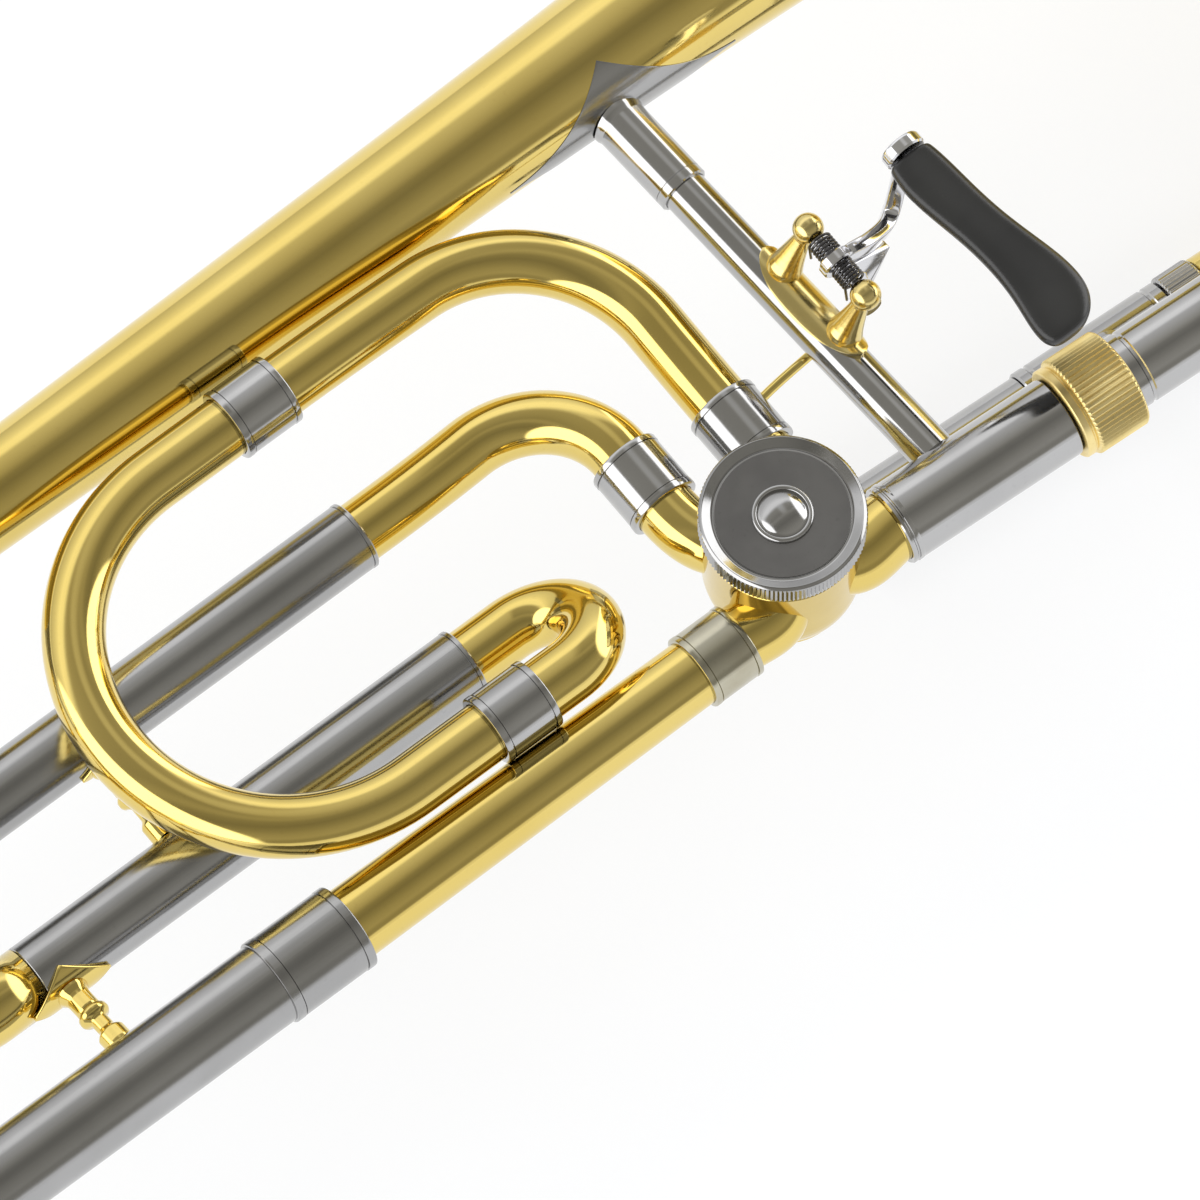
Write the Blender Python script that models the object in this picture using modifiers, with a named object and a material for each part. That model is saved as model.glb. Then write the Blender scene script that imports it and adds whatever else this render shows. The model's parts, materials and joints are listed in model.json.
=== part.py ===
# Alto trombone with a rotary-valve attachment. Lengths are in metres.
# While it is laid out, +X runs forward along the tubes, +Y goes from the main tube to the bell,
# and +Z is the side of the valve's screw cap. The last step puts the origin under the middle.
import math

import bmesh
import bpy
from mathutils import Matrix, Vector

# Fits and facets
GAP = 0.0003
WALL = 0.0005
SIDES = 12
FINE_SIDES = 24
BELL_SIDES = 28
FLARE_CHORD = 0.00015

# Bell
BELL_Y = 0.1085
BELL_TAIL_X = -0.140
BELL_RIM_X = 0.200
RIM_RADIUS = 0.083
TAIL_RADIUS = 0.0103
BELL_TAPER = 0.0155
THROAT_FLARE = 0.0276
THROAT_REACH = 0.045
LIP_REACH = 0.010
BEAD_RADIUS = 0.0014

# Main line
MAIN_Y = -0.0083
MAIN_FRONT_X = -0.018
MAIN_TUBE_RADIUS = 0.0069
MAIN_TUBE_REAR_RADIUS = 0.00765
MAIN_FERRULE_LENGTH = 0.0118
MAIN_FERRULE_RADIUS = 0.0080
SLEEVE_FERRULE_X = -0.117
SLEEVE_FERRULE_LENGTH = 0.020
SLEEVE_FERRULE_RADIUS = 0.0091
MAIN_SLEEVE_RADIUS = 0.00865
SLEEVE_WALL = 0.0006
MAIN_SLEEVE_END_X = -0.215
MAIN_LEG_LENGTH = 0.072
LEG_SEAT = 0.010
TAIL_COLLAR_LENGTH = 0.016

# Rotary valve
ROTOR_X = 0.0006
ROTOR_Y = 0.0014
CASING_RADIUS = 0.0162
CASING_HALF_HEIGHT = 0.014
ROTOR_RADIUS = 0.0136
ROTOR_HALF_HEIGHT = 0.011
PORT_ARC_RADIUS = 0.014
PASSAGE_RADIUS = 0.0050
SPINDLE_RADIUS = 0.0031
PLATE_THICKNESS = 0.0022
CAP_RADIUS = 0.0170
CAP_HEIGHT = 0.0057
CAP_RECESS_RADIUS = 0.0145
CAP_RECESS_DEPTH = 0.0009
CAP_BOSS_RADIUS = 0.00625
CAP_BOSS_HEIGHT = 0.0022
CAP_TEETH = 48
KNURL_DEPTH = 0.0003

# Stop arm under the valve
ARM_RADIUS = 0.010
ARM_HALF_WIDTH = 0.0025
ARM_THICKNESS = 0.0025
ARM_HUB_RADIUS = 0.0050
LUG_RADIUS = 0.009
STOP_RADIUS = 0.0024
STOP_HEIGHT = 0.0037

# Attachment tubing
LOOP_RADIUS = 0.00605
LOOP_FERRULE_RADIUS = 0.00725
LOOP_FERRULE_LENGTH = 0.0135
OUT_X = 0.0105
OUT_FERRULE_Y = 0.020
OUT_BEND_Y = 0.055
OUT_BEND_RADIUS = 0.0335
LOOP_Z = 0.0078
LOOP_FERRULE_X = -0.065
LOOP_BEND_X = -0.093
LOOP_BEND_RADIUS = 0.0418
UBEND_X = -0.052
LEG_A_Y = 0.059
LEG_B_Y = 0.024
LEG_Z = -0.007
LEG_RADIUS = 0.0072
LEG_FRONT_X = -0.062
LEG_LENGTH = 0.110
LEG_OVERLAP = 0.008
INNER_LEG_LENGTH = 0.085
IN_X = -0.012
IN_FERRULE_Y = 0.0229
IN_BEND_RADIUS = 0.019

# Stays between the sleeves
LOWER_STAY_X = -0.166
MIDDLE_STAY_X = -0.137
UPPER_STAY_X = -0.160
STAY_RADIUS = 0.0022
STAY_COLLAR_RADIUS = 0.0036
FLANGE_THICKNESS = 0.0009

# Slide receiver and lock nut
RECEIVER_X = 0.0206
RECEIVER_Y = -0.0080
SPLAY_DEGREES = 3.0
RECEIVER_LENGTH = 0.0415
RECEIVER_RADIUS = 0.00865
RECEIVER_RING_LENGTH = 0.0011
RING_RISE = 0.0003
BEAD_RISE = 0.00025
KNUCKLE_SEAT = 0.004
NUT_LENGTH = 0.0144
NUT_RADIUS = 0.0100
NUT_TEETH = 44

# Hand brace and its bell flange
BRACE_BELL_X = 0.0300
BRACE_RECEIVER_X = 0.0377
BRACE_RADIUS = 0.00475
BRACE_SOCKET_RADIUS = 0.0056
BRACE_SOCKET_LENGTH = 0.0205
BRACE_SOCKET_DEPTH = 0.006
FLANGE_REAR_X = 0.006
FLANGE_FRONT_X = 0.062
FLANGE_SPREAD_DEGREES = 68.0

# Thumb lever
HINGE_X = 0.0436
HINGE_Z = 0.0165
HINGE_Y = 0.03815
POST_SPACING = 0.0215
POST_BALL_RADIUS = 0.0033
POST_FOOT_RADIUS = 0.0034
POST_NECK_RADIUS = 0.0021
HINGE_ROD_RADIUS = 0.0012
HUB_RADIUS = 0.0026
HUB_LENGTH = 0.0040
SADDLE_LENGTH = 0.0300
SADDLE_SPREAD_DEGREES = 62.0
COIL_RADIUS = 0.0019
COIL_WIRE_RADIUS = 0.00028
COIL_PITCH = 0.00115
COIL_TURNS = 4
LEVER_WIRE_RADIUS = 0.0018
LEVER_ARM_RADIUS = 0.0016
PADDLE_X = 0.0653
PADDLE_Z = 0.0300
PADDLE_START_Y = 0.0427
PADDLE_LENGTH = 0.0492
PADDLE_HALF_WIDTH = 0.0050
PADDLE_END_HALF_WIDTH = 0.0066
PADDLE_HALF_THICKNESS = 0.0027
COLLAR_RADIUS = 0.0046
COLLAR_LENGTH = 0.0042
PIVOT_X = 0.0500
PIVOT_Z = -0.0100
LINK_RADIUS = 0.0010
LINK_EYE_RADIUS = 0.0024
LINK_EYE_THICKNESS = 0.0020

# Handslide
SLIDE_SPACING = 0.080
SHANK_START = 0.009
SHANK_TIP_RADIUS = 0.0064
SHANK_RADIUS = 0.0071
BARREL_LENGTH = 0.035
BARREL_RADIUS = 0.0081
INNER_TUBE_LENGTH = 0.545
OUTER_TUBE_RADIUS = 0.0071
OUTER_TUBE_LENGTH = 0.520
GRIP_LENGTH = 0.062
GRIP_RADIUS = 0.0080
GRIP_TAPER = 0.002
BOW_SEAT = 0.010
CONTACT_RADIUS = 0.0085
LOCK_RING_LENGTH = 0.0080
BOW_FERRULE_LENGTH = 0.018
SLIDE_BRACE_RADIUS = 0.0036
MOUTH_RECEIVER_LENGTH = 0.046
MOUTH_BORE_RADIUS = 0.0056
MOUTH_BORE_END_RADIUS = 0.0050
MOUTH_BORE_DEPTH = 0.030
BUMPER_RADIUS = 0.0052
BUMPER_LENGTH = 0.009
KEY_HINGE_SETBACK = 0.012
KEY_HINGE_HEIGHT = 0.0052
KEY_ARM_RADIUS = 0.0011
KEY_PAD_RADIUS = 0.0032
KEY_PAD_THICKNESS = 0.0022
NIPPLE_HEIGHT = 0.0016

# Values that follow from the ones above
X_AXIS = Vector((1, 0, 0))
Y_AXIS = Vector((0, 1, 0))
Z_AXIS = Vector((0, 0, 1))
FLAT = math.cos(math.pi / SIDES)
SLIDE_SPLAY = math.radians(SPLAY_DEGREES)
SLIDE_ANGLE = math.asin((RIM_RADIUS - CONTACT_RADIUS) / SLIDE_SPACING)
SLIDE_SIDE = Vector((0, math.cos(SLIDE_ANGLE), -math.sin(SLIDE_ANGLE)))


def around(radius, sides=SIDES):
    """The bore radius that clears a faceted rod of this radius by the gap."""
    return (radius + GAP) / math.cos(math.pi / sides)


def inside(radius, sides=SIDES):
    """The outer radius that clears a faceted bore of this radius by the gap."""
    return radius * math.cos(math.pi / sides) - GAP


def bell_radius(x):
    """Outer radius of the bell: a slow cone, then a throat and a lip that open ever faster."""
    cone = TAIL_RADIUS + BELL_TAPER * (x - BELL_TAIL_X)
    cone_at_rim = TAIL_RADIUS + BELL_TAPER * (BELL_RIM_X - BELL_TAIL_X)
    lip_flare = RIM_RADIUS - cone_at_rim - THROAT_FLARE
    back = BELL_RIM_X - x
    return cone + THROAT_FLARE * math.exp(-back / THROAT_REACH) + lip_flare * math.exp(-back / LIP_REACH)


class Route:
    """A path of straight runs and bends, walked from its start."""

    def __init__(self, start, heading):
        self.points = [Vector(start)]
        self.heading = Vector(heading).normalized()

    def ahead(self, distance, steps=1):
        for _ in range(steps):
            self.points.append(self.points[-1] + self.heading * distance / steps)
        return self

    def bend(self, radius, degrees, towards, steps):
        towards = Vector(towards).normalized()
        centre = self.points[-1] + towards * radius
        start_heading = self.heading.copy()
        for step in range(1, steps + 1):
            angle = math.radians(degrees) * step / steps
            offset = start_heading * math.sin(angle) - towards * math.cos(angle)
            self.points.append(centre + offset * radius)
        angle = math.radians(degrees)
        self.heading = start_heading * math.cos(angle) + towards * math.sin(angle)
        return self

    def climbing(self, rise, level):
        """The same path with a rise spread smoothly over its length, apart from a level run at each end."""
        lengths = [0.0]
        for before, after in zip(self.points, self.points[1:]):
            lengths.append(lengths[-1] + (after - before).length)
        for point, length in zip(self.points, lengths):
            share = min(1, max(0, (length - level) / (lengths[-1] - 2 * level)))
            point.z += rise * share * share * (3 - 2 * share)
        return self.points


def eased(start, start_heading, end, end_heading, pull, steps):
    """Points of a smooth curve that leaves and arrives along the two headings."""
    points = []
    for step in range(steps + 1):
        t = step / steps
        points.append(
            Vector(start) * (2 * t**3 - 3 * t**2 + 1)
            + Vector(start_heading) * pull * (t**3 - 2 * t**2 + t)
            + Vector(end) * (3 * t**2 - 2 * t**3)
            + Vector(end_heading) * pull * (t**3 - t**2)
        )
    return points


def new_collection(name):
    collection = bpy.data.collections.new(name)
    bpy.context.scene.collection.children.link(collection)
    return collection


def new_finish(name, colour, roughness, metallic):
    finish = bpy.data.materials.new(name)
    finish.use_nodes = True
    shader = finish.node_tree.nodes["Principled BSDF"]
    shader.inputs["Base Color"].default_value = (*colour, 1.0)
    shader.inputs["Roughness"].default_value = roughness
    shader.inputs["Metallic"].default_value = metallic
    return finish


def new_holder(name, pivot, parent=None, turn=None):
    """An empty that carries pieces. Its frame keeps the parent's coordinates for what it carries."""
    holder = bpy.data.objects.new(name, None)
    holder.empty_display_size = 0.01
    parts.objects.link(holder)
    if parent is not None:
        holder.parent = parent
        pivot_inside = Vector(pivot) - Vector(parent["pivot"])
    else:
        pivot_inside = Vector(pivot)
    holder.matrix_local = Matrix.Translation(pivot_inside) @ (turn or Matrix.Identity(4))
    holder["pivot"] = (0.0, 0.0, 0.0) if turn else tuple(pivot)
    return holder


def new_piece(name, data, finish, holder, placement=None):
    piece = bpy.data.objects.new(name, data)
    parts.objects.link(piece)
    piece.parent = holder
    shift = Matrix.Translation(-Vector(holder["pivot"]))
    piece.matrix_local = shift @ (placement or Matrix.Identity(4))
    data.materials.append(finish)
    return piece


def rounded_off(piece):
    """Keeps flat faces flat on a piece that is shaded smooth."""
    normals = piece.modifiers.new("normals", "WEIGHTED_NORMAL")
    normals.keep_sharp = True
    return piece


def facing(at, along):
    turn = Vector(along).to_track_quat("Z", "Y").to_matrix().to_4x4()
    return Matrix.Translation(Vector(at)) @ turn


def turned(name, finish, holder, at, along, outer, inner=None, sides=SIDES):
    """A turned piece. Its stations are (distance, radius) along the axis; with no inner ones it is solid."""
    profile = [(radius, distance) for distance, radius in reversed(outer)]
    if inner:
        profile += [(radius, distance) for distance, radius in inner]
    else:
        profile = [(0.0, outer[-1][0])] + profile + [(0.0, outer[0][0])]
    edges = [(i, i + 1) for i in range(len(profile) - 1)]
    if inner:
        edges.append((len(profile) - 1, 0))
    mesh = bpy.data.meshes.new(name)
    mesh.from_pydata([(radius, 0.0, distance) for radius, distance in profile], edges, [])
    piece = new_piece(name, mesh, finish, holder, facing(at, along))
    screw = piece.modifiers.new("turn", "SCREW")
    screw.steps = sides
    screw.render_steps = sides
    screw.use_merge_vertices = True
    screw.merge_threshold = 0.00001
    screw.use_smooth_shade = True
    return rounded_off(piece)


def curve_mesh(name, points, radius, sides, capped, tapers=None):
    """The mesh of a round bar or an open tube along the points."""
    curve = bpy.data.curves.new(name + "_route", "CURVE")
    curve.dimensions = "3D"
    curve.bevel_depth = radius
    curve.bevel_resolution = (sides - 4) // 2
    curve.use_fill_caps = capped
    spline = curve.splines.new("POLY")
    spline.points.add(len(points) - 1)
    for index, point in enumerate(points):
        spline.points[index].co = (*point, 1.0)
        spline.points[index].radius = tapers[index] if tapers else 1.0
    guide = bpy.data.objects.new(name + "_route", curve)
    bpy.context.scene.collection.objects.link(guide)
    bpy.context.view_layer.update()
    evaluated = guide.evaluated_get(bpy.context.evaluated_depsgraph_get())
    mesh = bpy.data.meshes.new_from_object(evaluated)
    bpy.data.objects.remove(guide)
    bpy.data.curves.remove(curve)
    shape = bmesh.new()
    shape.from_mesh(mesh)
    bmesh.ops.remove_doubles(shape, verts=shape.verts, dist=0.000001)
    shape.to_mesh(mesh)
    shape.free()
    mesh.name = name
    mesh.materials.clear()
    mesh.shade_smooth()
    return mesh


def pipe(name, finish, holder, points, radius, wall=WALL, sides=SIDES):
    """A hollow tube along the points."""
    piece = new_piece(name, curve_mesh(name, points, radius, sides, False), finish, holder)
    shell = piece.modifiers.new("wall", "SOLIDIFY")
    shell.thickness = wall
    shell.offset = -1.0
    return piece


def bar(name, finish, holder, points, radius, sides=10, tapers=None):
    """A solid round bar along the points."""
    return new_piece(name, curve_mesh(name, points, radius, sides, True, tapers), finish, holder)


def outlined(name, finish, holder, at, along, outlines, thickness):
    """A flat piece of this thickness, centred at a point, from closed outlines."""
    curve = bpy.data.curves.new(name + "_outline", "CURVE")
    curve.dimensions = "2D"
    curve.fill_mode = "BOTH"
    curve.extrude = thickness / 2
    for outline in outlines:
        spline = curve.splines.new("POLY")
        spline.points.add(len(outline) - 1)
        spline.use_cyclic_u = True
        for index, (x, y) in enumerate(outline):
            spline.points[index].co = (x, y, 0.0, 1.0)
    guide = bpy.data.objects.new(name + "_outline", curve)
    bpy.context.scene.collection.objects.link(guide)
    bpy.context.view_layer.update()
    mesh = bpy.data.meshes.new_from_object(guide.evaluated_get(bpy.context.evaluated_depsgraph_get()))
    bpy.data.objects.remove(guide)
    bpy.data.curves.remove(curve)
    shape = bmesh.new()
    shape.from_mesh(mesh)
    bmesh.ops.remove_doubles(shape, verts=shape.verts, dist=0.000001)
    bmesh.ops.recalc_face_normals(shape, faces=shape.faces)
    shape.to_mesh(mesh)
    shape.free()
    mesh.name = name
    mesh.materials.clear()
    return new_piece(name, mesh, finish, holder, facing(at, along))


def ring_outline(radius, count, depth=0.0):
    """A circle of points. A depth makes every other one lie lower, as on a straight knurl."""
    points = []
    for index in range(count):
        angle = 2 * math.pi * index / count
        reach = radius - depth * (index % 2)
        points.append((reach * math.cos(angle), reach * math.sin(angle)))
    return points


def wrapped(name, finish, holder, at, along, middle, length, spread, radius_at, outline, cells=(12, 8)):
    """A thin plate wrapped on a round body. The outline gives its share of the spread along its length."""
    along = Vector(along).normalized()
    middle = Vector(middle).normalized()
    side = middle.cross(along)
    mesh = bpy.data.meshes.new(name)
    shape = bmesh.new()
    bmesh.ops.create_grid(shape, x_segments=cells[0], y_segments=cells[1], size=1.0)
    for vertex in shape.verts:
        distance = vertex.co.x * length / 2
        reach = spread * outline(vertex.co.x)
        angle = vertex.co.y * reach
        radial = middle * math.cos(angle) + side * math.sin(angle)
        radius = radius_at(distance) / math.cos(reach / cells[1])
        vertex.co = Vector(at) + along * distance + radial * radius
    shape.to_mesh(mesh)
    shape.free()
    piece = new_piece(name, mesh, finish, holder)
    shell = piece.modifiers.new("plate", "SOLIDIFY")
    shell.thickness = FLANGE_THICKNESS
    shell.offset = 1.0
    return piece


def combine(piece, operation, tools, solver="EXACT"):
    """Cuts the tools out of a piece or joins them to it, and puts them away with the cutters."""
    for tool in tools:
        parts.objects.unlink(tool)
        cutters.objects.link(tool)
        tool.hide_render = True
        tool.display_type = "WIRE"
        step = piece.modifiers.new(tool.name, "BOOLEAN")
        step.operation = operation
        step.object = tool
        step.solver = solver
    return piece


def cut(piece, *tools, solver="EXACT"):
    return combine(piece, "DIFFERENCE", tools, solver)


def joined(piece, *tools, solver="EXACT"):
    return combine(piece, "UNION", tools, solver)


def ferrule(name, finish, holder, at, along, length, radius, bore_radius):
    """A sleeve over a joint, with a raised bead at each end."""
    bead = radius + BEAD_RISE
    width = length * 0.1
    outer = [(0, bead), (width, bead), (width * 1.4, radius)]
    outer += [(length - width * 1.4, radius), (length - width, bead), (length, bead)]
    bore = around(bore_radius)
    return turned(name, finish, holder, at, along, outer, [(0, bore), (length, bore)])


def clear_scene():
    for thing in list(bpy.data.objects):
        bpy.data.objects.remove(thing)


def make_bell():
    length = BELL_RIM_X - BELL_TAIL_X
    shares = [0.0, 0.42, 0.47, 0.52, 0.57, 0.62, 0.74, 0.82, 0.88, 0.92, 0.95, 0.972, 0.988]
    stations = [(share * length, bell_radius(BELL_TAIL_X + share * length)) for share in shares]
    inner = [(distance, radius - WALL) for distance, radius in stations]
    edge = RIM_RADIUS - BEAD_RADIUS
    outer = stations + [(length - BEAD_RADIUS, edge), (length - BEAD_RADIUS * 0.7, RIM_RADIUS - 0.0004)]
    outer += [(length, RIM_RADIUS), (length + BEAD_RADIUS * 0.7, RIM_RADIUS - 0.0004)]
    outer += [(length + BEAD_RADIUS, edge)]
    inner += [(length - WALL, edge - BEAD_RADIUS)]
    turned("bell", brass, root, (BELL_TAIL_X, BELL_Y, 0), X_AXIS, outer, inner, BELL_SIDES)


def make_bell_flange():
    middle_x = (FLANGE_REAR_X + FLANGE_FRONT_X) / 2
    wrapped(
        "bell_flange",
        nickel,
        root,
        (middle_x, BELL_Y, 0),
        X_AXIS,
        -Y_AXIS,
        FLANGE_FRONT_X - FLANGE_REAR_X,
        math.radians(FLANGE_SPREAD_DEGREES),
        lambda distance: bell_radius(middle_x + distance) + GAP + FLARE_CHORD,
        lambda share: 0.02 + 0.98 * (1 - abs(share)) ** 1.7,
        (12, 8),
    )


def make_brace():
    bell_end = Vector((BRACE_BELL_X, BELL_Y - bell_radius(BRACE_BELL_X), 0))
    receiver_end = Vector((BRACE_RECEIVER_X, slide_line_y(BRACE_RECEIVER_X), 0))
    along = (receiver_end - bell_end).normalized()
    socket = turned(
        "brace_socket",
        nickel_bright,
        root,
        bell_end,
        along,
        [(0, BRACE_SOCKET_RADIUS), (BRACE_SOCKET_LENGTH, BRACE_SOCKET_RADIUS)],
        [(0, around(BRACE_RADIUS)), (BRACE_SOCKET_LENGTH, around(BRACE_RADIUS))],
    )
    flange_face = around(bell_radius(FLANGE_FRONT_X), BELL_SIDES) + FLANGE_THICKNESS
    cut(
        socket,
        turned(
            "bell_clearance",
            brass,
            root,
            (FLANGE_REAR_X, BELL_Y, 0),
            X_AXIS,
            [(0, flange_face), (FLANGE_FRONT_X - FLANGE_REAR_X, flange_face)],
            sides=FINE_SIDES,
        ),
    )
    start = bell_end + along * (BRACE_SOCKET_LENGTH - BRACE_SOCKET_DEPTH)
    tube = pipe("brace_tube", nickel_bright, root, [start, receiver_end], BRACE_RADIUS, WALL * 1.6)
    cut(tube, receiver_clearance("receiver_clearance"))
    return along


def slide_line_y(x):
    """Y of the receiver's axis at this X."""
    return RECEIVER_Y - (x - RECEIVER_X) * math.tan(SLIDE_SPLAY)


def receiver_clearance(name):
    reach = RECEIVER_LENGTH
    outer = [(0, around(RECEIVER_RADIUS)), (reach, around(RECEIVER_RADIUS))]
    return turned(name, nickel, slide_frame, (0, 0, 0), X_AXIS, outer)


def make_receiver():
    bore = RECEIVER_RADIUS - SLEEVE_WALL
    ring = RECEIVER_RING_LENGTH
    rim = RECEIVER_RADIUS + RING_RISE
    outer = [(0, rim), (ring, rim), (ring, RECEIVER_RADIUS), (RECEIVER_LENGTH, RECEIVER_RADIUS)]
    inner = [(0, bore), (RECEIVER_LENGTH, bore)]
    turned("slide_receiver", nickel_bright, slide_frame, (0, 0, 0), X_AXIS, outer, inner)


def make_casing():
    """The valve casing with its four knuckles, open from the bore out to each tube."""
    centre = Vector((ROTOR_X, ROTOR_Y, 0))
    receiver_heading = Vector((math.cos(SLIDE_SPLAY), -math.sin(SLIDE_SPLAY), 0))
    low = centre - Z_AXIS * CASING_HALF_HEIGHT
    height = 2 * CASING_HALF_HEIGHT
    outer = [(0, CASING_RADIUS), (height, CASING_RADIUS)]
    casing = turned("rotor_casing", brass, root, low, Z_AXIS, outer, sides=FINE_SIDES)
    half = LOOP_FERRULE_LENGTH / 2
    ends = {
        "main": (-135, (MAIN_FRONT_X, MAIN_Y, 0), -X_AXIS, MAIN_FERRULE_LENGTH / 2, MAIN_TUBE_RADIUS),
        "slide": (-45, (RECEIVER_X, RECEIVER_Y, 0), receiver_heading, KNUCKLE_SEAT, MAIN_TUBE_RADIUS),
        "out": (45, (OUT_X, OUT_FERRULE_Y, 0), Y_AXIS, half, LOOP_RADIUS),
        "back": (135, (IN_X, IN_FERRULE_Y, 0), Y_AXIS, half, LOOP_RADIUS),
    }
    knuckles = []
    bores = []
    for name, (degrees, mouth, heading, seat, radius) in ends.items():
        angle = math.radians(degrees)
        radial = Vector((math.cos(angle), math.sin(angle), 0))
        start = centre + radial * CASING_RADIUS * 0.66
        mouth = Vector(mouth)
        end = mouth + heading * seat
        pull = (mouth - start).length * 0.8
        points = eased(start, radial, mouth, heading, pull, 4) + [end]
        knuckles.append(bar(name + "_knuckle", brass, root, points, radius, 14))
        points = [start - radial * 0.002] + points + [end + heading * 0.002]
        bores.append(bar(name + "_knuckle_bore", brass, root, points, radius - WALL * 1.2, 12))
    joined(casing, *knuckles, solver="MANIFOLD")
    bore_radius = around(ROTOR_RADIUS, FINE_SIDES)
    low_cut = low - Z_AXIS * 0.002
    outer = [(0, bore_radius), (height + 0.004, bore_radius)]
    bore = turned("casing_bore", brass, root, low_cut, Z_AXIS, outer, sides=FINE_SIDES)
    cut(casing, bore, *bores, solver="MANIFOLD")


def make_rotor():
    centre = Vector((ROTOR_X, ROTOR_Y, 0))
    top = ROTOR_HALF_HEIGHT
    low_end = stop_arm_z() - ARM_THICKNESS / 2 - GAP
    high_end = CASING_HALF_HEIGHT + GAP
    outer = [(low_end, SPINDLE_RADIUS), (-top, SPINDLE_RADIUS), (-top, ROTOR_RADIUS)]
    outer += [(top, ROTOR_RADIUS), (top, SPINDLE_RADIUS), (high_end, SPINDLE_RADIUS)]
    rotor = turned("valve_rotor", brass_raw, rotor_axis, centre, Z_AXIS, outer, sides=FINE_SIDES)
    tools = []
    for name, towards in (("main_passage", -1), ("loop_passage", 1)):
        start = centre + Vector((-1, towards, 0)).normalized() * (PORT_ARC_RADIUS + 0.006)
        heading = Vector((1, -towards, 0))
        route = Route(start, heading).ahead(0.006)
        route.bend(PORT_ARC_RADIUS, 90, Vector((1, towards, 0)), 6).ahead(0.006)
        tools.append(bar(name, brass, rotor_axis, route.points, PASSAGE_RADIUS, 12))
    cut(rotor, *tools)


def make_valve_plates():
    centre = Vector((ROTOR_X, ROTOR_Y, 0))
    hole = around(SPINDLE_RADIUS, FINE_SIDES)
    gap_above = CASING_HALF_HEIGHT - ROTOR_HALF_HEIGHT - 2 * GAP
    plate = min(PLATE_THICKNESS, gap_above)
    rim = inside(around(ROTOR_RADIUS, FINE_SIDES), FINE_SIDES)
    at = centre + Z_AXIS * (ROTOR_HALF_HEIGHT + GAP)
    outer = [(0, rim), (plate, rim)]
    inner = [(0, hole), (plate, hole)]
    turned("bearing_plate", brass_raw, root, at, Z_AXIS, outer, inner, FINE_SIDES)
    at = centre - Z_AXIS * (CASING_HALF_HEIGHT + GAP + PLATE_THICKNESS)
    outer = [(0, CASING_RADIUS), (PLATE_THICKNESS, CASING_RADIUS)]
    inner = [(0, hole), (PLATE_THICKNESS, hole)]
    turned("stop_plate", brass, root, at, Z_AXIS, outer, inner, FINE_SIDES)


def make_cap():
    centre = Vector((ROTOR_X, ROTOR_Y, CASING_HALF_HEIGHT + GAP))
    cap = outlined(
        "rotor_cap",
        nickel_bright,
        root,
        centre + Z_AXIS * CAP_HEIGHT / 2,
        Z_AXIS,
        [ring_outline(CAP_RADIUS, CAP_TEETH * 2, KNURL_DEPTH)],
        CAP_HEIGHT,
    )
    top = centre + Z_AXIS * CAP_HEIGHT
    step = CAP_RECESS_DEPTH
    outer = [(-step, CAP_RECESS_RADIUS), (step, CAP_RECESS_RADIUS + 2 * step)]
    recess = turned("cap_recess", nickel, root, top, Z_AXIS, outer, sides=FINE_SIDES)
    rise = CAP_BOSS_HEIGHT
    reach = CAP_BOSS_RADIUS
    outer = [(-2 * step, reach), (0, reach * 0.86), (rise * 0.5, reach * 0.72)]
    outer += [(rise * 0.85, reach * 0.45), (rise, reach * 0.18)]
    boss = turned("cap_boss", nickel, root, top, Z_AXIS, outer, sides=SIDES)
    hollow = SPINDLE_RADIUS + 2 * GAP
    outer = [(-0.001, hollow), (2 * GAP, hollow)]
    spindle_room = turned("spindle_room", nickel, root, centre, Z_AXIS, outer)
    cut(cap, recess, spindle_room)
    joined(cap, boss)


def stop_arm_z():
    return -(CASING_HALF_HEIGHT + PLATE_THICKNESS + 3 * GAP + ARM_THICKNESS / 2)


def make_stop_arm():
    centre = Vector((ROTOR_X, ROTOR_Y, stop_arm_z()))
    half = ARM_THICKNESS / 2
    reach = ARM_HALF_WIDTH
    tip = Vector((math.cos(math.pi / 4), math.sin(math.pi / 4), 0))
    ends = [-tip * LUG_RADIUS, tip * ARM_RADIUS]
    low = centre - Z_AXIS * half
    outer = [(0, ARM_HUB_RADIUS), (ARM_THICKNESS, ARM_HUB_RADIUS)]
    hub = turned("stop_arm", brass, rotor_axis, low, Z_AXIS, outer, sides=FINE_SIDES)
    outline = []
    for end, start_degrees in ((ends[1], -45), (ends[0], 135)):
        for step in range(9):
            angle = math.radians(start_degrees + 22.5 * step)
            outline.append((end.x + reach * math.cos(angle), end.y + reach * math.sin(angle)))
    arm = outlined("stop_arm_bar", brass, rotor_axis, centre, Z_AXIS, [outline], ARM_THICKNESS * 0.9)
    joined(hub, arm)
    hole = around(SPINDLE_RADIUS, FINE_SIDES)
    outer = [(-0.001, hole), (ARM_THICKNESS + 0.001, hole)]
    cut(hub, turned("stop_arm_hole", brass, rotor_axis, low, Z_AXIS, outer, sides=FINE_SIDES))


def make_stops():
    swing = math.asin((ARM_HALF_WIDTH + STOP_RADIUS + GAP) / LUG_RADIUS)
    top = -(CASING_HALF_HEIGHT + PLATE_THICKNESS + 2 * GAP)
    angles = {"stop_cork_open": math.radians(225) - swing, "stop_cork_closed": math.radians(315) + swing}
    for name, angle in angles.items():
        at = (ROTOR_X + LUG_RADIUS * math.cos(angle), ROTOR_Y + LUG_RADIUS * math.sin(angle), top)
        outer = [(0, STOP_RADIUS), (STOP_HEIGHT * 0.85, STOP_RADIUS), (STOP_HEIGHT, STOP_RADIUS * 0.75)]
        turned(name, rubber, root, at, -Z_AXIS, outer, sides=12)


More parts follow.
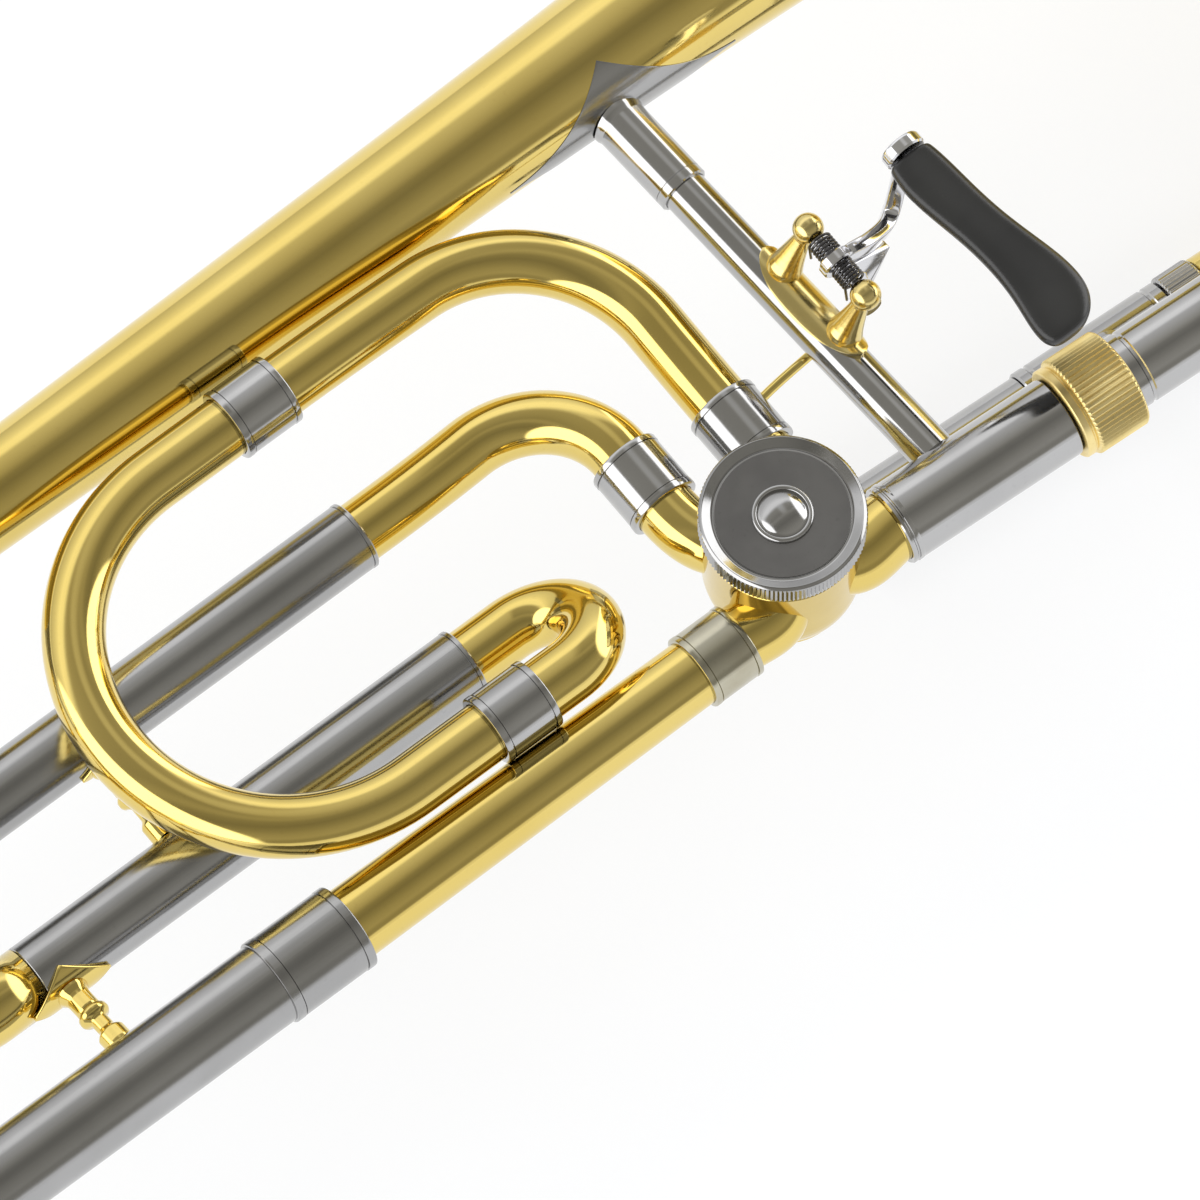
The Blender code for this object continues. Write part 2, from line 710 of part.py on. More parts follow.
def make_main_line():
    at = (MAIN_FRONT_X, MAIN_Y, 0)
    reach = MAIN_TUBE_REAR_RADIUS
    length = MAIN_FERRULE_LENGTH
    ferrule("main_ferrule", nickel_bright, root, at, -X_AXIS, length, MAIN_FERRULE_RADIUS, MAIN_TUBE_RADIUS)
    start = length / 2 + GAP
    length = MAIN_FRONT_X - SLEEVE_FERRULE_X + SLEEVE_FERRULE_LENGTH / 2
    outer = [(start, MAIN_TUBE_RADIUS), (length, reach)]
    inner = [(start, MAIN_TUBE_RADIUS - WALL), (length, reach - WALL)]
    turned("main_tube", brass, root, at, -X_AXIS, outer, inner)
    at = (SLEEVE_FERRULE_X, MAIN_Y, 0)
    ferrule("sleeve_ferrule", nickel, root, at, -X_AXIS, SLEEVE_FERRULE_LENGTH, SLEEVE_FERRULE_RADIUS, reach)
    start = SLEEVE_FERRULE_X - SLEEVE_FERRULE_LENGTH - GAP
    length = start - MAIN_SLEEVE_END_X
    outer = [(0, MAIN_SLEEVE_RADIUS), (length, MAIN_SLEEVE_RADIUS)]
    inner = [(0, MAIN_SLEEVE_RADIUS - SLEEVE_WALL), (length, MAIN_SLEEVE_RADIUS - SLEEVE_WALL)]
    turned("main_sleeve", nickel, root, (start, MAIN_Y, 0), -X_AXIS, outer, inner)
    start = BELL_TAIL_X - GAP
    length = start - MAIN_SLEEVE_END_X
    collar = TAIL_COLLAR_LENGTH
    outer = [(0, TAIL_RADIUS), (collar, TAIL_RADIUS * 0.96)]
    outer += [(collar, MAIN_SLEEVE_RADIUS), (length, MAIN_SLEEVE_RADIUS)]
    inner = [(0, MAIN_SLEEVE_RADIUS - SLEEVE_WALL), (length, MAIN_SLEEVE_RADIUS - SLEEVE_WALL)]
    turned("bell_tail_sleeve", nickel, root, (start, BELL_Y, 0), -X_AXIS, outer, inner)


def make_main_slide():
    end = MAIN_SLEEVE_END_X - GAP
    radius = (BELL_Y - MAIN_Y) / 2
    crook = Route((end, MAIN_Y, 0), -X_AXIS).ahead(LEG_SEAT).bend(radius, 180, Y_AXIS, 11).ahead(LEG_SEAT)
    pipe("main_crook", brass, main_slide, crook.points, MAIN_SLEEVE_RADIUS, SLEEVE_WALL)
    reach = inside(MAIN_SLEEVE_RADIUS - SLEEVE_WALL)
    for name, y in (("main_leg_lower", MAIN_Y), ("main_leg_upper", BELL_Y)):
        start = (end - LEG_SEAT + GAP, y, 0)
        length = LEG_SEAT + MAIN_LEG_LENGTH
        outer = [(0, reach), (length, reach)]
        inner = [(0, reach - WALL), (length, reach - WALL)]
        turned(name, nickel_bright, main_slide, start, X_AXIS, outer, inner)


def make_attachment():
    length = LOOP_FERRULE_LENGTH
    half = length / 2
    radius = LOOP_FERRULE_RADIUS
    at = (OUT_X, OUT_FERRULE_Y, 0)
    ferrule("out_ferrule", nickel_bright, root, at, Y_AXIS, length, radius, LOOP_RADIUS)
    out = Route((OUT_X, OUT_FERRULE_Y + half + GAP, 0), Y_AXIS)
    out.ahead(half).ahead(OUT_BEND_Y - OUT_FERRULE_Y - length - GAP).bend(OUT_BEND_RADIUS, 90, -X_AXIS, 7)
    out.ahead(OUT_X - OUT_BEND_RADIUS - LOOP_FERRULE_X - GAP - half, 2).ahead(half)
    pipe("loop_out_tube", brass, root, out.climbing(LOOP_Z, half), LOOP_RADIUS)
    top_y = OUT_BEND_Y + OUT_BEND_RADIUS
    low_y = top_y - 2 * LOOP_BEND_RADIUS
    back_x = LOOP_FERRULE_X + half
    for name, y in (("loop_ferrule_upper", top_y), ("loop_ferrule_lower", low_y)):
        ferrule(name, nickel_bright, root, (back_x, y, LOOP_Z), -X_AXIS, length, radius, LOOP_RADIUS)
    straight = LOOP_FERRULE_X - GAP - LOOP_BEND_X
    loop = Route((LOOP_FERRULE_X - GAP, top_y, LOOP_Z), -X_AXIS).ahead(straight)
    loop.bend(LOOP_BEND_RADIUS, 180, -Y_AXIS, 12).ahead(straight)
    pipe("rear_loop", brass, root, loop.points, LOOP_RADIUS)
    across = Vector((0, LEG_B_Y - low_y, LEG_Z - LOOP_Z))
    ubend = Route((LOOP_FERRULE_X + GAP, low_y, LOOP_Z), X_AXIS).ahead(UBEND_X - LOOP_FERRULE_X - GAP)
    ubend.bend(across.length / 2, 180, across, 8).ahead(UBEND_X - LEG_FRONT_X + LEG_OVERLAP)
    pipe("front_ubend", brass, root, ubend.points, LOOP_RADIUS)
    for name, y in (("loop_sleeve_upper", LEG_A_Y), ("loop_sleeve_lower", LEG_B_Y)):
        ring = RECEIVER_RING_LENGTH
        rim = LEG_RADIUS + RING_RISE
        outer = [(0, rim), (ring, rim), (ring, LEG_RADIUS), (LEG_LENGTH, LEG_RADIUS)]
        inner = [(0, LEG_RADIUS - SLEEVE_WALL), (LEG_LENGTH, LEG_RADIUS - SLEEVE_WALL)]
        turned(name, nickel, root, (LEG_FRONT_X, y, LEG_Z), -X_AXIS, outer, inner)
    back = Route((LEG_FRONT_X - LEG_OVERLAP, LEG_A_Y, LEG_Z), X_AXIS)
    back.ahead(LEG_OVERLAP).ahead(IN_X - IN_BEND_RADIUS - LEG_FRONT_X, 3)
    back.bend(IN_BEND_RADIUS, 90, -Y_AXIS, 6)
    back.ahead(LEG_A_Y - IN_BEND_RADIUS - IN_FERRULE_Y - length - GAP).ahead(half)
    pipe("loop_return_tube", brass, root, back.climbing(-LEG_Z, LEG_OVERLAP), LOOP_RADIUS)
    at = (IN_X, IN_FERRULE_Y, 0)
    ferrule("return_ferrule", nickel_bright, root, at, Y_AXIS, length, radius, LOOP_RADIUS)


def make_attachment_slide():
    end = LEG_FRONT_X - LEG_LENGTH - GAP
    radius = (LEG_A_Y - LEG_B_Y) / 2
    crook = Route((end, LEG_B_Y, LEG_Z), -X_AXIS).ahead(LEG_SEAT).bend(radius, 180, Y_AXIS, 8).ahead(LEG_SEAT)
    pipe("loop_crook", brass, loop_slide, crook.points, LEG_RADIUS, SLEEVE_WALL)
    reach = inside(LEG_RADIUS - SLEEVE_WALL)
    for name, y in (("loop_leg_upper", LEG_A_Y), ("loop_leg_lower", LEG_B_Y)):
        length = LEG_SEAT + INNER_LEG_LENGTH
        outer = [(0, reach), (length, reach)]
        inner = [(0, reach - WALL), (length, reach - WALL)]
        turned(name, nickel_bright, loop_slide, (end - LEG_SEAT + GAP, y, LEG_Z), X_AXIS, outer, inner)


def stay(name, start, end, start_radius, end_radius):
    """A turned rod with collars between two tubes that run along X, cut to seat on both."""
    start = Vector(start)
    end = Vector(end)
    along = (end - start).normalized()
    span = (end - start).length
    first = start_radius + GAP
    last = span - end_radius - GAP
    collar = STAY_COLLAR_RADIUS
    thin = STAY_RADIUS
    outer = [(first * 0.8, collar), (first + 0.0014, collar), (first + 0.0026, thin)]
    middle = (first + last) / 2
    outer += [(middle - 0.0014, thin), (middle - 0.0007, collar * 0.85)]
    outer += [(middle + 0.0007, collar * 0.85), (middle + 0.0014, thin)]
    outer += [(last - 0.0026, thin), (last - 0.0014, collar), (last + end_radius * 0.2, collar)]
    rod = turned(name, brass, root, start, along, outer, sides=10)
    flange = wrapped(
        name + "_flange",
        brass,
        root,
        start,
        X_AXIS,
        along,
        0.022,
        math.radians(48),
        lambda distance: start_radius + GAP,
        lambda share: 0.04 + 0.96 * (1 - abs(share)) ** 1.3,
        (6, 4),
    )
    tools = []
    seat = start_radius + GAP + FLANGE_THICKNESS / 2
    for label, centre, radius in (("start", start, seat), ("end", end, around(end_radius))):
        clearance = [(0, radius), (0.04, radius)]
        tools.append(turned(name + "_" + label, brass, root, centre - X_AXIS * 0.02, X_AXIS, clearance))
    joined(cut(rod, *tools), flange)


def make_stays():
    x = LOWER_STAY_X
    stay("lower_stay", (x, LEG_B_Y, LEG_Z), (x, MAIN_Y, 0), LEG_RADIUS, MAIN_SLEEVE_RADIUS)
    x = MIDDLE_STAY_X
    stay("middle_stay", (x, LEG_A_Y, LEG_Z), (x, LEG_B_Y, LEG_Z), LEG_RADIUS, LEG_RADIUS)
    x = UPPER_STAY_X
    stay("upper_stay", (x, LEG_A_Y, LEG_Z), (x, BELL_Y, 0), LEG_RADIUS, MAIN_SLEEVE_RADIUS)


def make_saddle(brace_along):
    """The boat-shaped saddle on the hand brace, with the two posts that hold the hinge rod."""
    brace_start = Vector((BRACE_BELL_X, BELL_Y - bell_radius(BRACE_BELL_X), 0))
    middle = brace_start + brace_along * ((HINGE_Y - brace_start.y) / brace_along.y)
    lean = Vector((HINGE_X - middle.x, 0, HINGE_Z)).normalized()
    hinge_line = Vector((HINGE_X, HINGE_Y, HINGE_Z))
    saddle = wrapped(
        "lever_saddle",
        brass,
        root,
        middle,
        brace_along,
        lean,
        SADDLE_LENGTH,
        math.radians(SADDLE_SPREAD_DEGREES),
        lambda distance: BRACE_RADIUS + GAP,
        lambda share: 0.06 + 0.94 * math.sqrt(max(0.0, 1 - share * share)),
        (10, 4),
    )
    posts = []
    for label, side in (("near", -1), ("far", 1)):
        ball = hinge_line + Y_AXIS * side * POST_SPACING / 2
        foot = brace_start + brace_along * ((ball.y - brace_start.y) / brace_along.y)
        rise = (ball - foot).length
        foot_distance = around(BRACE_RADIUS) + 0.0001
        axis = (ball - foot).normalized()
        outer = [(foot_distance, POST_FOOT_RADIUS), (foot_distance + 0.0012, POST_FOOT_RADIUS)]
        outer += [(rise - POST_BALL_RADIUS * 0.95, POST_NECK_RADIUS)]
        for degrees in (-40, 0, 35, 65):
            angle = math.radians(degrees)
            outer.append((rise + POST_BALL_RADIUS * math.sin(angle), POST_BALL_RADIUS * math.cos(angle)))
        posts.append(turned(label + "_post", brass, root, foot, axis, outer, sides=10))
    joined(saddle, *posts)
    reach = POST_SPACING / 2 + POST_BALL_RADIUS + 0.001
    hole = around(HINGE_ROD_RADIUS, 12)
    outer = [(-reach, hole), (reach, hole)]
    cut(saddle, turned("hinge_hole", brass, root, hinge_line, Y_AXIS, outer, sides=12))
    reach = POST_SPACING / 2 + POST_BALL_RADIUS * 0.9
    outer = [(-reach, HINGE_ROD_RADIUS), (reach, HINGE_ROD_RADIUS)]
    turned("hinge_rod", steel, root, hinge_line, Y_AXIS, outer, sides=12)


def make_springs():
    """Two coil springs on the hinge rod, one on each side of the lever's hub."""
    length = COIL_TURNS * COIL_PITCH
    room_start = HUB_LENGTH / 2
    room_end = POST_SPACING / 2 - POST_BALL_RADIUS
    centre_distance = (room_start + room_end) / 2
    points_a_turn = 9
    least_gap = COIL_PITCH - 2 * COIL_WIRE_RADIUS
    for name, side in (("spring_near", -1), ("spring_far", 1)):
        middle = Vector((HINGE_X, HINGE_Y + side * centre_distance, HINGE_Z))
        points = []
        for index in range(COIL_TURNS * points_a_turn + 1):
            angle = 2 * math.pi * index / points_a_turn
            travel = COIL_PITCH * index / points_a_turn - length / 2
            offset = Vector((COIL_RADIUS * math.cos(angle), travel, COIL_RADIUS * math.sin(angle)))
            points.append(middle + offset)
        for index, first in enumerate(points):
            for second in points[index + points_a_turn // 2 :]:
                least_gap = min(least_gap, (second - first).length - 2 * COIL_WIRE_RADIUS)
        bar(name, blued, root, points, COIL_WIRE_RADIUS, 6)
    print("least gap of a spring to itself:", round(least_gap * 1000, 3), "mm")


def make_lever():
    hinge = Vector((HINGE_X, HINGE_Y, HINGE_Z))
    half = HUB_LENGTH / 2
    outer = [(-half, HUB_RADIUS), (half, HUB_RADIUS)]
    hub = turned("thumb_lever", chrome, lever_axis, hinge, Y_AXIS, outer, sides=16)
    end_y = PADDLE_START_Y + GAP + COLLAR_LENGTH * 0.6
    paddle_end = Vector((PADDLE_X, end_y, PADDLE_Z - COLLAR_RADIUS * 0.5))
    shoulder = hinge + X_AXIS * 2 * HUB_RADIUS
    reach = (paddle_end - shoulder).length
    neck = [hinge] + eased(shoulder, (0.85, 0.5, 0.05), paddle_end, (0.45, 0, 0.9), reach, 6)
    neck_end = bar("lever_neck", chrome, lever_axis, neck, LEVER_WIRE_RADIUS, 8)
    outer = [(0, COLLAR_RADIUS), (COLLAR_LENGTH * 0.7, COLLAR_RADIUS), (COLLAR_LENGTH, COLLAR_RADIUS * 0.75)]
    at = (PADDLE_X, PADDLE_START_Y + GAP, PADDLE_Z)
    collar = turned("lever_collar", chrome, lever_axis, at, Y_AXIS, outer, sides=16)
    pivot = Vector((PIVOT_X, HINGE_Y, PIVOT_Z))
    drop = eased(hinge, (1.3, 0, -0.1), pivot, (-1, 0, -0.7), (pivot - hinge).length * 1.1, 7)
    arm = bar("lever_arm", chrome, lever_axis, drop, LEVER_ARM_RADIUS, 8)
    half = LINK_EYE_THICKNESS / 2
    outer = [(-half, LINK_EYE_RADIUS), (half, LINK_EYE_RADIUS)]
    eye = turned("lever_eye", chrome, lever_axis, pivot, Y_AXIS, outer, sides=12)
    joined(hub, neck_end, collar, arm, eye)
    hole = around(HINGE_ROD_RADIUS, 12)
    outer = [(-HUB_LENGTH, hole), (HUB_LENGTH, hole)]
    cut(hub, turned("lever_hole", chrome, lever_axis, hinge, Y_AXIS, outer, sides=12))


def make_paddle():
    """The thumb paddle: a flat pin shape, narrow by the collar and round at its far end."""
    mesh = bpy.data.meshes.new("thumb_paddle")
    shape = bmesh.new()
    bmesh.ops.create_grid(shape, x_segments=1, y_segments=6, size=1.0)
    low = shape.faces[:]
    raised = bmesh.ops.extrude_face_region(shape, geom=low)
    top = [item for item in raised["geom"] if isinstance(item, bmesh.types.BMVert)]
    bmesh.ops.translate(shape, verts=top, vec=(0, 0, 2))
    widths = [0.9, 1.0, 0.9, 0.84, 1.0, 1.2, 0.95]
    for vertex in shape.verts:
        share = (1 - vertex.co.y) / 2
        width = widths[round(share * (len(widths) - 1))]
        growth = 1 + (PADDLE_END_HALF_WIDTH / PADDLE_HALF_WIDTH - 1) * share
        x = vertex.co.x * PADDLE_HALF_WIDTH * width * growth * 1.12
        z = (vertex.co.z - 1) * PADDLE_HALF_THICKNESS * 1.35
        vertex.co = (x, -share * PADDLE_LENGTH, z)
    bmesh.ops.recalc_face_normals(shape, faces=shape.faces)
    shape.to_mesh(mesh)
    shape.free()
    placement = Matrix.Translation((PADDLE_X, PADDLE_START_Y, PADDLE_Z))
    paddle = new_piece("thumb_paddle", mesh, black, lever_axis, placement)
    smooth = paddle.modifiers.new("round", "SUBSURF")
    smooth.levels = 2
    smooth.render_levels = 2


def make_link():
    """The cranked rod from the lever down to the stop arm. Its far eye lies just below the arm."""
    pivot_y = HINGE_Y - LEVER_ARM_RADIUS - GAP - LINK_EYE_THICKNESS / 2
    pivot = Vector((PIVOT_X, pivot_y, PIVOT_Z))
    arm_low = stop_arm_z() - ARM_THICKNESS / 2
    eye_z = arm_low - 2 * GAP - LINK_EYE_THICKNESS / 2
    tip = math.cos(math.pi / 4) * ARM_RADIUS
    far = Vector((ROTOR_X + tip, ROTOR_Y + tip, eye_z))
    bend = Vector((OUT_X + 0.0135, pivot.y - 0.0012, (PIVOT_Z + eye_z) / 2 + 0.0015))
    points = [pivot, pivot + Vector((-0.006, 0, -0.001)), bend + Vector((0.003, 0.0006, 0.001)), bend]
    points += [bend + Vector((-0.003, -0.0025, -0.002))]
    points += [far + Vector((0.0045, 0.011, 0)), far + Vector((0.0015, 0.004, 0)), far]
    half = LINK_EYE_THICKNESS / 2
    outer = [(-half, LINK_EYE_RADIUS), (half, LINK_EYE_RADIUS)]
    link = turned("link_rod", brass, link_axis, far, Z_AXIS, outer, sides=12)
    rod = bar("link_wire", brass, link_axis, points, LINK_RADIUS, 10)
    eye = turned("link_eye", brass, link_axis, pivot, Y_AXIS, outer, sides=12)
    joined(link, rod, eye)


def make_lock_nut():
    start = RECEIVER_LENGTH + GAP
    bore = ring_outline(around(SHANK_RADIUS, SIDES), SIDES)
    rim = ring_outline(NUT_RADIUS, NUT_TEETH * 2, KNURL_DEPTH)
    at = (start + NUT_LENGTH / 2, 0, 0)
    outlined("lock_nut", brass_bright, nut_axis, at, X_AXIS, [rim, bore[::-1]], NUT_LENGTH)


def slide_tube_start():
    return RECEIVER_LENGTH + NUT_LENGTH + 2 * GAP


def make_inner_slide():
    barrel_start = slide_tube_start()
    barrel_end = barrel_start + BARREL_LENGTH
    tube_radius = inside(OUTER_TUBE_RADIUS - WALL)
    bore = around(tube_radius)
    step = barrel_start + 0.006
    shank_bore = tube_radius - WALL
    outer = [(SHANK_START, SHANK_TIP_RADIUS), (barrel_start, SHANK_RADIUS), (barrel_start, BARREL_RADIUS)]
    outer += [(barrel_end, BARREL_RADIUS)]
    inner = [(SHANK_START, shank_bore), (step, shank_bore), (step, bore), (barrel_end, bore)]
    turned("neck_barrel", nickel_bright, slide_axis, (0, 0, 0), X_AXIS, outer, inner)
    side = SLIDE_SIDE * SLIDE_SPACING
    outer = [(barrel_start, BARREL_RADIUS), (barrel_end, BARREL_RADIUS)]
    inner = [(barrel_start, shank_bore), (step, shank_bore), (step, bore), (barrel_end, bore)]
    turned("mouth_barrel", nickel_bright, slide_axis, side, X_AXIS, outer, inner)
    for name, at in (("inner_tube_neck", Vector()), ("inner_tube_mouth", side)):
        outer = [(step + GAP, tube_radius), (step + INNER_TUBE_LENGTH, tube_radius)]
        inner = [(step + GAP, tube_radius - WALL), (step + INNER_TUBE_LENGTH, tube_radius - WALL)]
        turned(name, nickel_bright, slide_axis, at, X_AXIS, outer, inner)
    start = barrel_start - GAP - MOUTH_RECEIVER_LENGTH
    end = barrel_start - GAP
    depth = start + MOUTH_BORE_DEPTH
    lip = CONTACT_RADIUS
    outer = [(start, lip), (start + 0.003, lip), (start + 0.0045, lip * 0.9), (end, lip * 0.88)]
    inner = [(start, MOUTH_BORE_RADIUS), (depth, MOUTH_BORE_END_RADIUS), (end, shank_bore)]
    turned("mouthpiece_receiver", nickel_bright, slide_axis, side, X_AXIS, outer, inner)
    slide_brace("inner_slide_brace", slide_axis, barrel_start + BARREL_LENGTH * 0.5, BARREL_RADIUS)


def slide_brace(name, holder, x, tube_radius):
    """A turned cross brace between the two tubes of the slide."""
    first = around(tube_radius)
    last = SLIDE_SPACING - first
    foot = SLIDE_BRACE_RADIUS * 1.6
    outer = [(first * 0.8, foot), (first + 0.0022, foot), (first + 0.006, SLIDE_BRACE_RADIUS)]
    outer += [(last - 0.006, SLIDE_BRACE_RADIUS), (last - 0.0022, foot), (last + first * 0.2, foot)]
    brace = turned(name, nickel_bright, holder, (x, 0, 0), SLIDE_SIDE, outer)
    tools = []
    for label, at in (("neck", Vector()), ("mouth", SLIDE_SIDE * SLIDE_SPACING)):
        clearance = [(x - 0.01, first), (x + 0.01, first)]
        tools.append(turned(name + "_" + label, nickel, holder, at, X_AXIS, clearance))
    cut(brace, *tools)


def outer_slide_start():
    return slide_tube_start() + BARREL_LENGTH + LOCK_RING_LENGTH + 2 * GAP


def make_lock_ring():
    start = slide_tube_start() + BARREL_LENGTH + GAP
    tube_radius = inside(OUTER_TUBE_RADIUS - WALL)
    at = SLIDE_SIDE * SLIDE_SPACING + X_AXIS * (start + LOCK_RING_LENGTH / 2)
    rim = ring_outline(CONTACT_RADIUS, 48, KNURL_DEPTH)
    bore = ring_outline(around(tube_radius), SIDES)
    outlined("slide_lock_ring", nickel_bright, lock_axis, at, X_AXIS, [rim, bore[::-1]], LOCK_RING_LENGTH)


def make_outer_slide():
    start = outer_slide_start()
    end = start + OUTER_TUBE_LENGTH
    bore = OUTER_TUBE_RADIUS - WALL
    side = SLIDE_SIDE * SLIDE_SPACING
    grip = start + GRIP_LENGTH
    outer = [(start, GRIP_RADIUS), (grip, GRIP_RADIUS)]
    outer += [(grip + GRIP_TAPER, OUTER_TUBE_RADIUS), (end, OUTER_TUBE_RADIUS)]
    inner = [(start, bore), (end, bore)]
    neck_tube = turned("outer_tube_neck", brass, outer_slide, (0, 0, 0), X_AXIS, outer, inner)
    turned("outer_tube_mouth", brass, outer_slide, side, X_AXIS, outer, inner)
    slide_brace("outer_slide_brace", outer_slide, start + GRIP_LENGTH * 0.5, GRIP_RADIUS)
    bow = Route((end + GAP, 0, 0), X_AXIS).ahead(BOW_SEAT)
    bow.bend(SLIDE_SPACING / 2, 180, SLIDE_SIDE, 8).ahead(BOW_SEAT)
    pipe("slide_bow", brass, outer_slide, bow.points, OUTER_TUBE_RADIUS)
    ferrule_start = end - BOW_FERRULE_LENGTH / 2
    radius = CONTACT_RADIUS - BEAD_RISE
    length = BOW_FERRULE_LENGTH
    at = X_AXIS * ferrule_start
    ferrule("bow_ferrule_neck", nickel_bright, outer_slide, at, X_AXIS, length, radius, OUTER_TUBE_RADIUS)
    at = side + X_AXIS * ferrule_start
    ferrule("bow_ferrule_mouth", nickel_bright, outer_slide, at, X_AXIS, length, radius, OUTER_TUBE_RADIUS)
    tip = end + GAP + BOW_SEAT + SLIDE_SPACING / 2 + OUTER_TUBE_RADIUS + GAP
    edge = BUMPER_RADIUS * 0.8
    outer = [(0, edge), (BUMPER_LENGTH * 0.3, BUMPER_RADIUS)]
    outer += [(BUMPER_LENGTH * 0.8, BUMPER_RADIUS), (BUMPER_LENGTH, edge)]
    turned("slide_bumper", rubber, outer_slide, side / 2 + X_AXIS * tip, X_AXIS, outer)
    return neck_tube


def key_hinge():
    """A point on the water key's hinge, on the outer side of the neck tube."""
    x = outer_slide_start() + OUTER_TUBE_LENGTH - BOW_FERRULE_LENGTH / 2 - KEY_HINGE_SETBACK
    return X_AXIS * x - SLIDE_SIDE * (OUTER_TUBE_RADIUS + KEY_HINGE_HEIGHT)


def make_water_key(neck_tube):
    """The water key, and on the neck tube its seat, its posts and the nipple that its pad closes."""
    up = -SLIDE_SIDE
    across = X_AXIS.cross(up)
    hinge = key_hinge()
    tube_point = hinge - up * KEY_HINGE_HEIGHT
    nipple_at = tube_point - X_AXIS * 0.020
    post_gap = KEY_ARM_RADIUS * 2 + GAP
    seat = wrapped(
        "water_key_seat",
        brass,
        outer_slide,
        tube_point - up * OUTER_TUBE_RADIUS - X_AXIS * 0.010,
        X_AXIS,
        up,
        0.032,
        math.radians(40),
        lambda distance: OUTER_TUBE_RADIUS * FLAT - WALL * 0.3,
        lambda share: 0.2 + 0.8 * math.sqrt(max(0.0, 1 - share * share)),
        (8, 4),
    )
    posts = []
    for label, sign in (("left", -1), ("right", 1)):
        drop = KEY_HINGE_HEIGHT + OUTER_TUBE_RADIUS * 0.1
        foot = hinge + across * sign * (post_gap + 0.0007) - up * drop
        outer = [(0, 0.0010), (drop + 0.0010, 0.0010)]
        posts.append(turned("key_post_" + label, brass, outer_slide, foot, up, outer, sides=8))
    outer = [(-WALL / 3, 0.0022), (NIPPLE_HEIGHT, 0.0020)]
    nipple = turned("nipple", brass, outer_slide, nipple_at, up, outer, sides=12)
    joined(neck_tube, seat, nipple, *posts)
    outer = [(0, KEY_PAD_RADIUS), (KEY_PAD_THICKNESS, KEY_PAD_RADIUS)]
    pad_at = nipple_at + up * (NIPPLE_HEIGHT + GAP)
    key = turned("water_key", brass, key_axis, pad_at, up, outer, sides=14)
    pad_top = pad_at + up * KEY_PAD_THICKNESS * 0.7
    points = [pad_top, pad_top + X_AXIS * 0.004 + up * 0.0006, hinge - X_AXIS * 0.004 + up * 0.0006]
    points += [hinge, hinge + X_AXIS * 0.008 + up * 0.0010, hinge + X_AXIS * 0.014 + up * 0.0022]
    arm = bar("water_key_arm", brass, key_axis, points, KEY_ARM_RADIUS, 8)
    half = post_gap - 0.0003 - 0.0003
    outer = [(-half, 0.0016), (half, 0.0016)]
    barrel = turned("water_key_barrel", brass, key_axis, hinge, across, outer, sides=10)
    joined(key, arm, barrel)


def set_origin():
    """Moves everything so that the origin lies under the middle of the whole, on the floor."""
    bpy.context.view_layer.update()
    graph = bpy.context.evaluated_depsgraph_get()
    corners = []
    for piece in parts.objects:
        if piece.type == "MESH":
            evaluated = piece.evaluated_get(graph)
            mesh = evaluated.to_mesh()
            corners += [evaluated.matrix_world @ vertex.co for vertex in mesh.vertices]
            evaluated.to_mesh_clear()
    low = [min(corner[axis] for corner in corners) for axis in range(3)]
    high = [max(corner[axis] for corner in corners) for axis in range(3)]
    root.location = (-(low[0] + high[0]) / 2, -(low[1] + high[1]) / 2, -low[2])
    bpy.context.view_layer.update()


clear_scene()
parts = new_collection("alto_trombone")
cutters = new_collection("cutters")

brass = new_finish("lacquered_brass", (0.86, 0.62, 0.20), 0.16, 1.0)
brass_bright = new_finish("bright_brass", (0.95, 0.72, 0.28), 0.25, 1.0)
brass_raw = new_finish("raw_brass", (0.72, 0.56, 0.28), 0.35, 1.0)
nickel = new_finish("satin_nickel", (0.46, 0.46, 0.47), 0.28, 1.0)
nickel_bright = new_finish("polished_nickel", (0.62, 0.62, 0.63), 0.14, 1.0)
chrome = new_finish("chrome", (0.80, 0.80, 0.82), 0.06, 1.0)
steel = new_finish("steel", (0.55, 0.55, 0.56), 0.25, 1.0)
blued = new_finish("blued_steel", (0.07, 0.08, 0.11), 0.30, 1.0)
black = new_finish("black_plastic", (0.02, 0.02, 0.022), 0.38, 0.0)
rubber = new_finish("black_rubber", (0.03, 0.03, 0.03), 0.70, 0.0)

root = new_holder("trombone", (0, 0, 0))
splay = Matrix.Rotation(-SLIDE_SPLAY, 4, "Z")
slide_frame = new_holder("slide_frame", (RECEIVER_X, RECEIVER_Y, 0), root, splay)
rotor_axis = new_holder("rotor_axis", (ROTOR_X, ROTOR_Y, 0), root)
lever_axis = new_holder("lever_axis", (HINGE_X, HINGE_Y, HINGE_Z), root)
link_axis = new_holder("link_axis", (PIVOT_X, HINGE_Y, PIVOT_Z), lever_axis)
main_slide = new_holder("main_slide_axis", (MAIN_SLEEVE_END_X, MAIN_Y, 0), root)
loop_slide = new_holder("loop_slide_axis", (LEG_FRONT_X - LEG_LENGTH, LEG_B_Y, LEG_Z), root)
nut_axis = new_holder("nut_axis", (RECEIVER_LENGTH, 0, 0), slide_frame)
slide_axis = new_holder("slide_axis", (RECEIVER_LENGTH, 0, 0), slide_frame)
lock_axis = new_holder("lock_axis", SLIDE_SIDE * SLIDE_SPACING, slide_axis)
outer_slide = new_holder("outer_slide_axis", X_AXIS * outer_slide_start(), slide_axis)
key_axis = new_holder("key_axis", key_hinge(), outer_slide)

make_bell()
make_bell_flange()
brace_direction = make_brace()
make_receiver()
make_casing()
make_rotor()
make_valve_plates()
make_cap()
make_stop_arm()
make_stops()
make_main_line()
make_main_slide()
make_attachment()
make_attachment_slide()
make_stays()
make_saddle(brace_direction)
make_springs()
make_lever()
make_paddle()
make_link()
make_lock_nut()
make_inner_slide()
make_lock_ring()
outer_neck_tube = make_outer_slide()
make_water_key(outer_neck_tube)
set_origin()
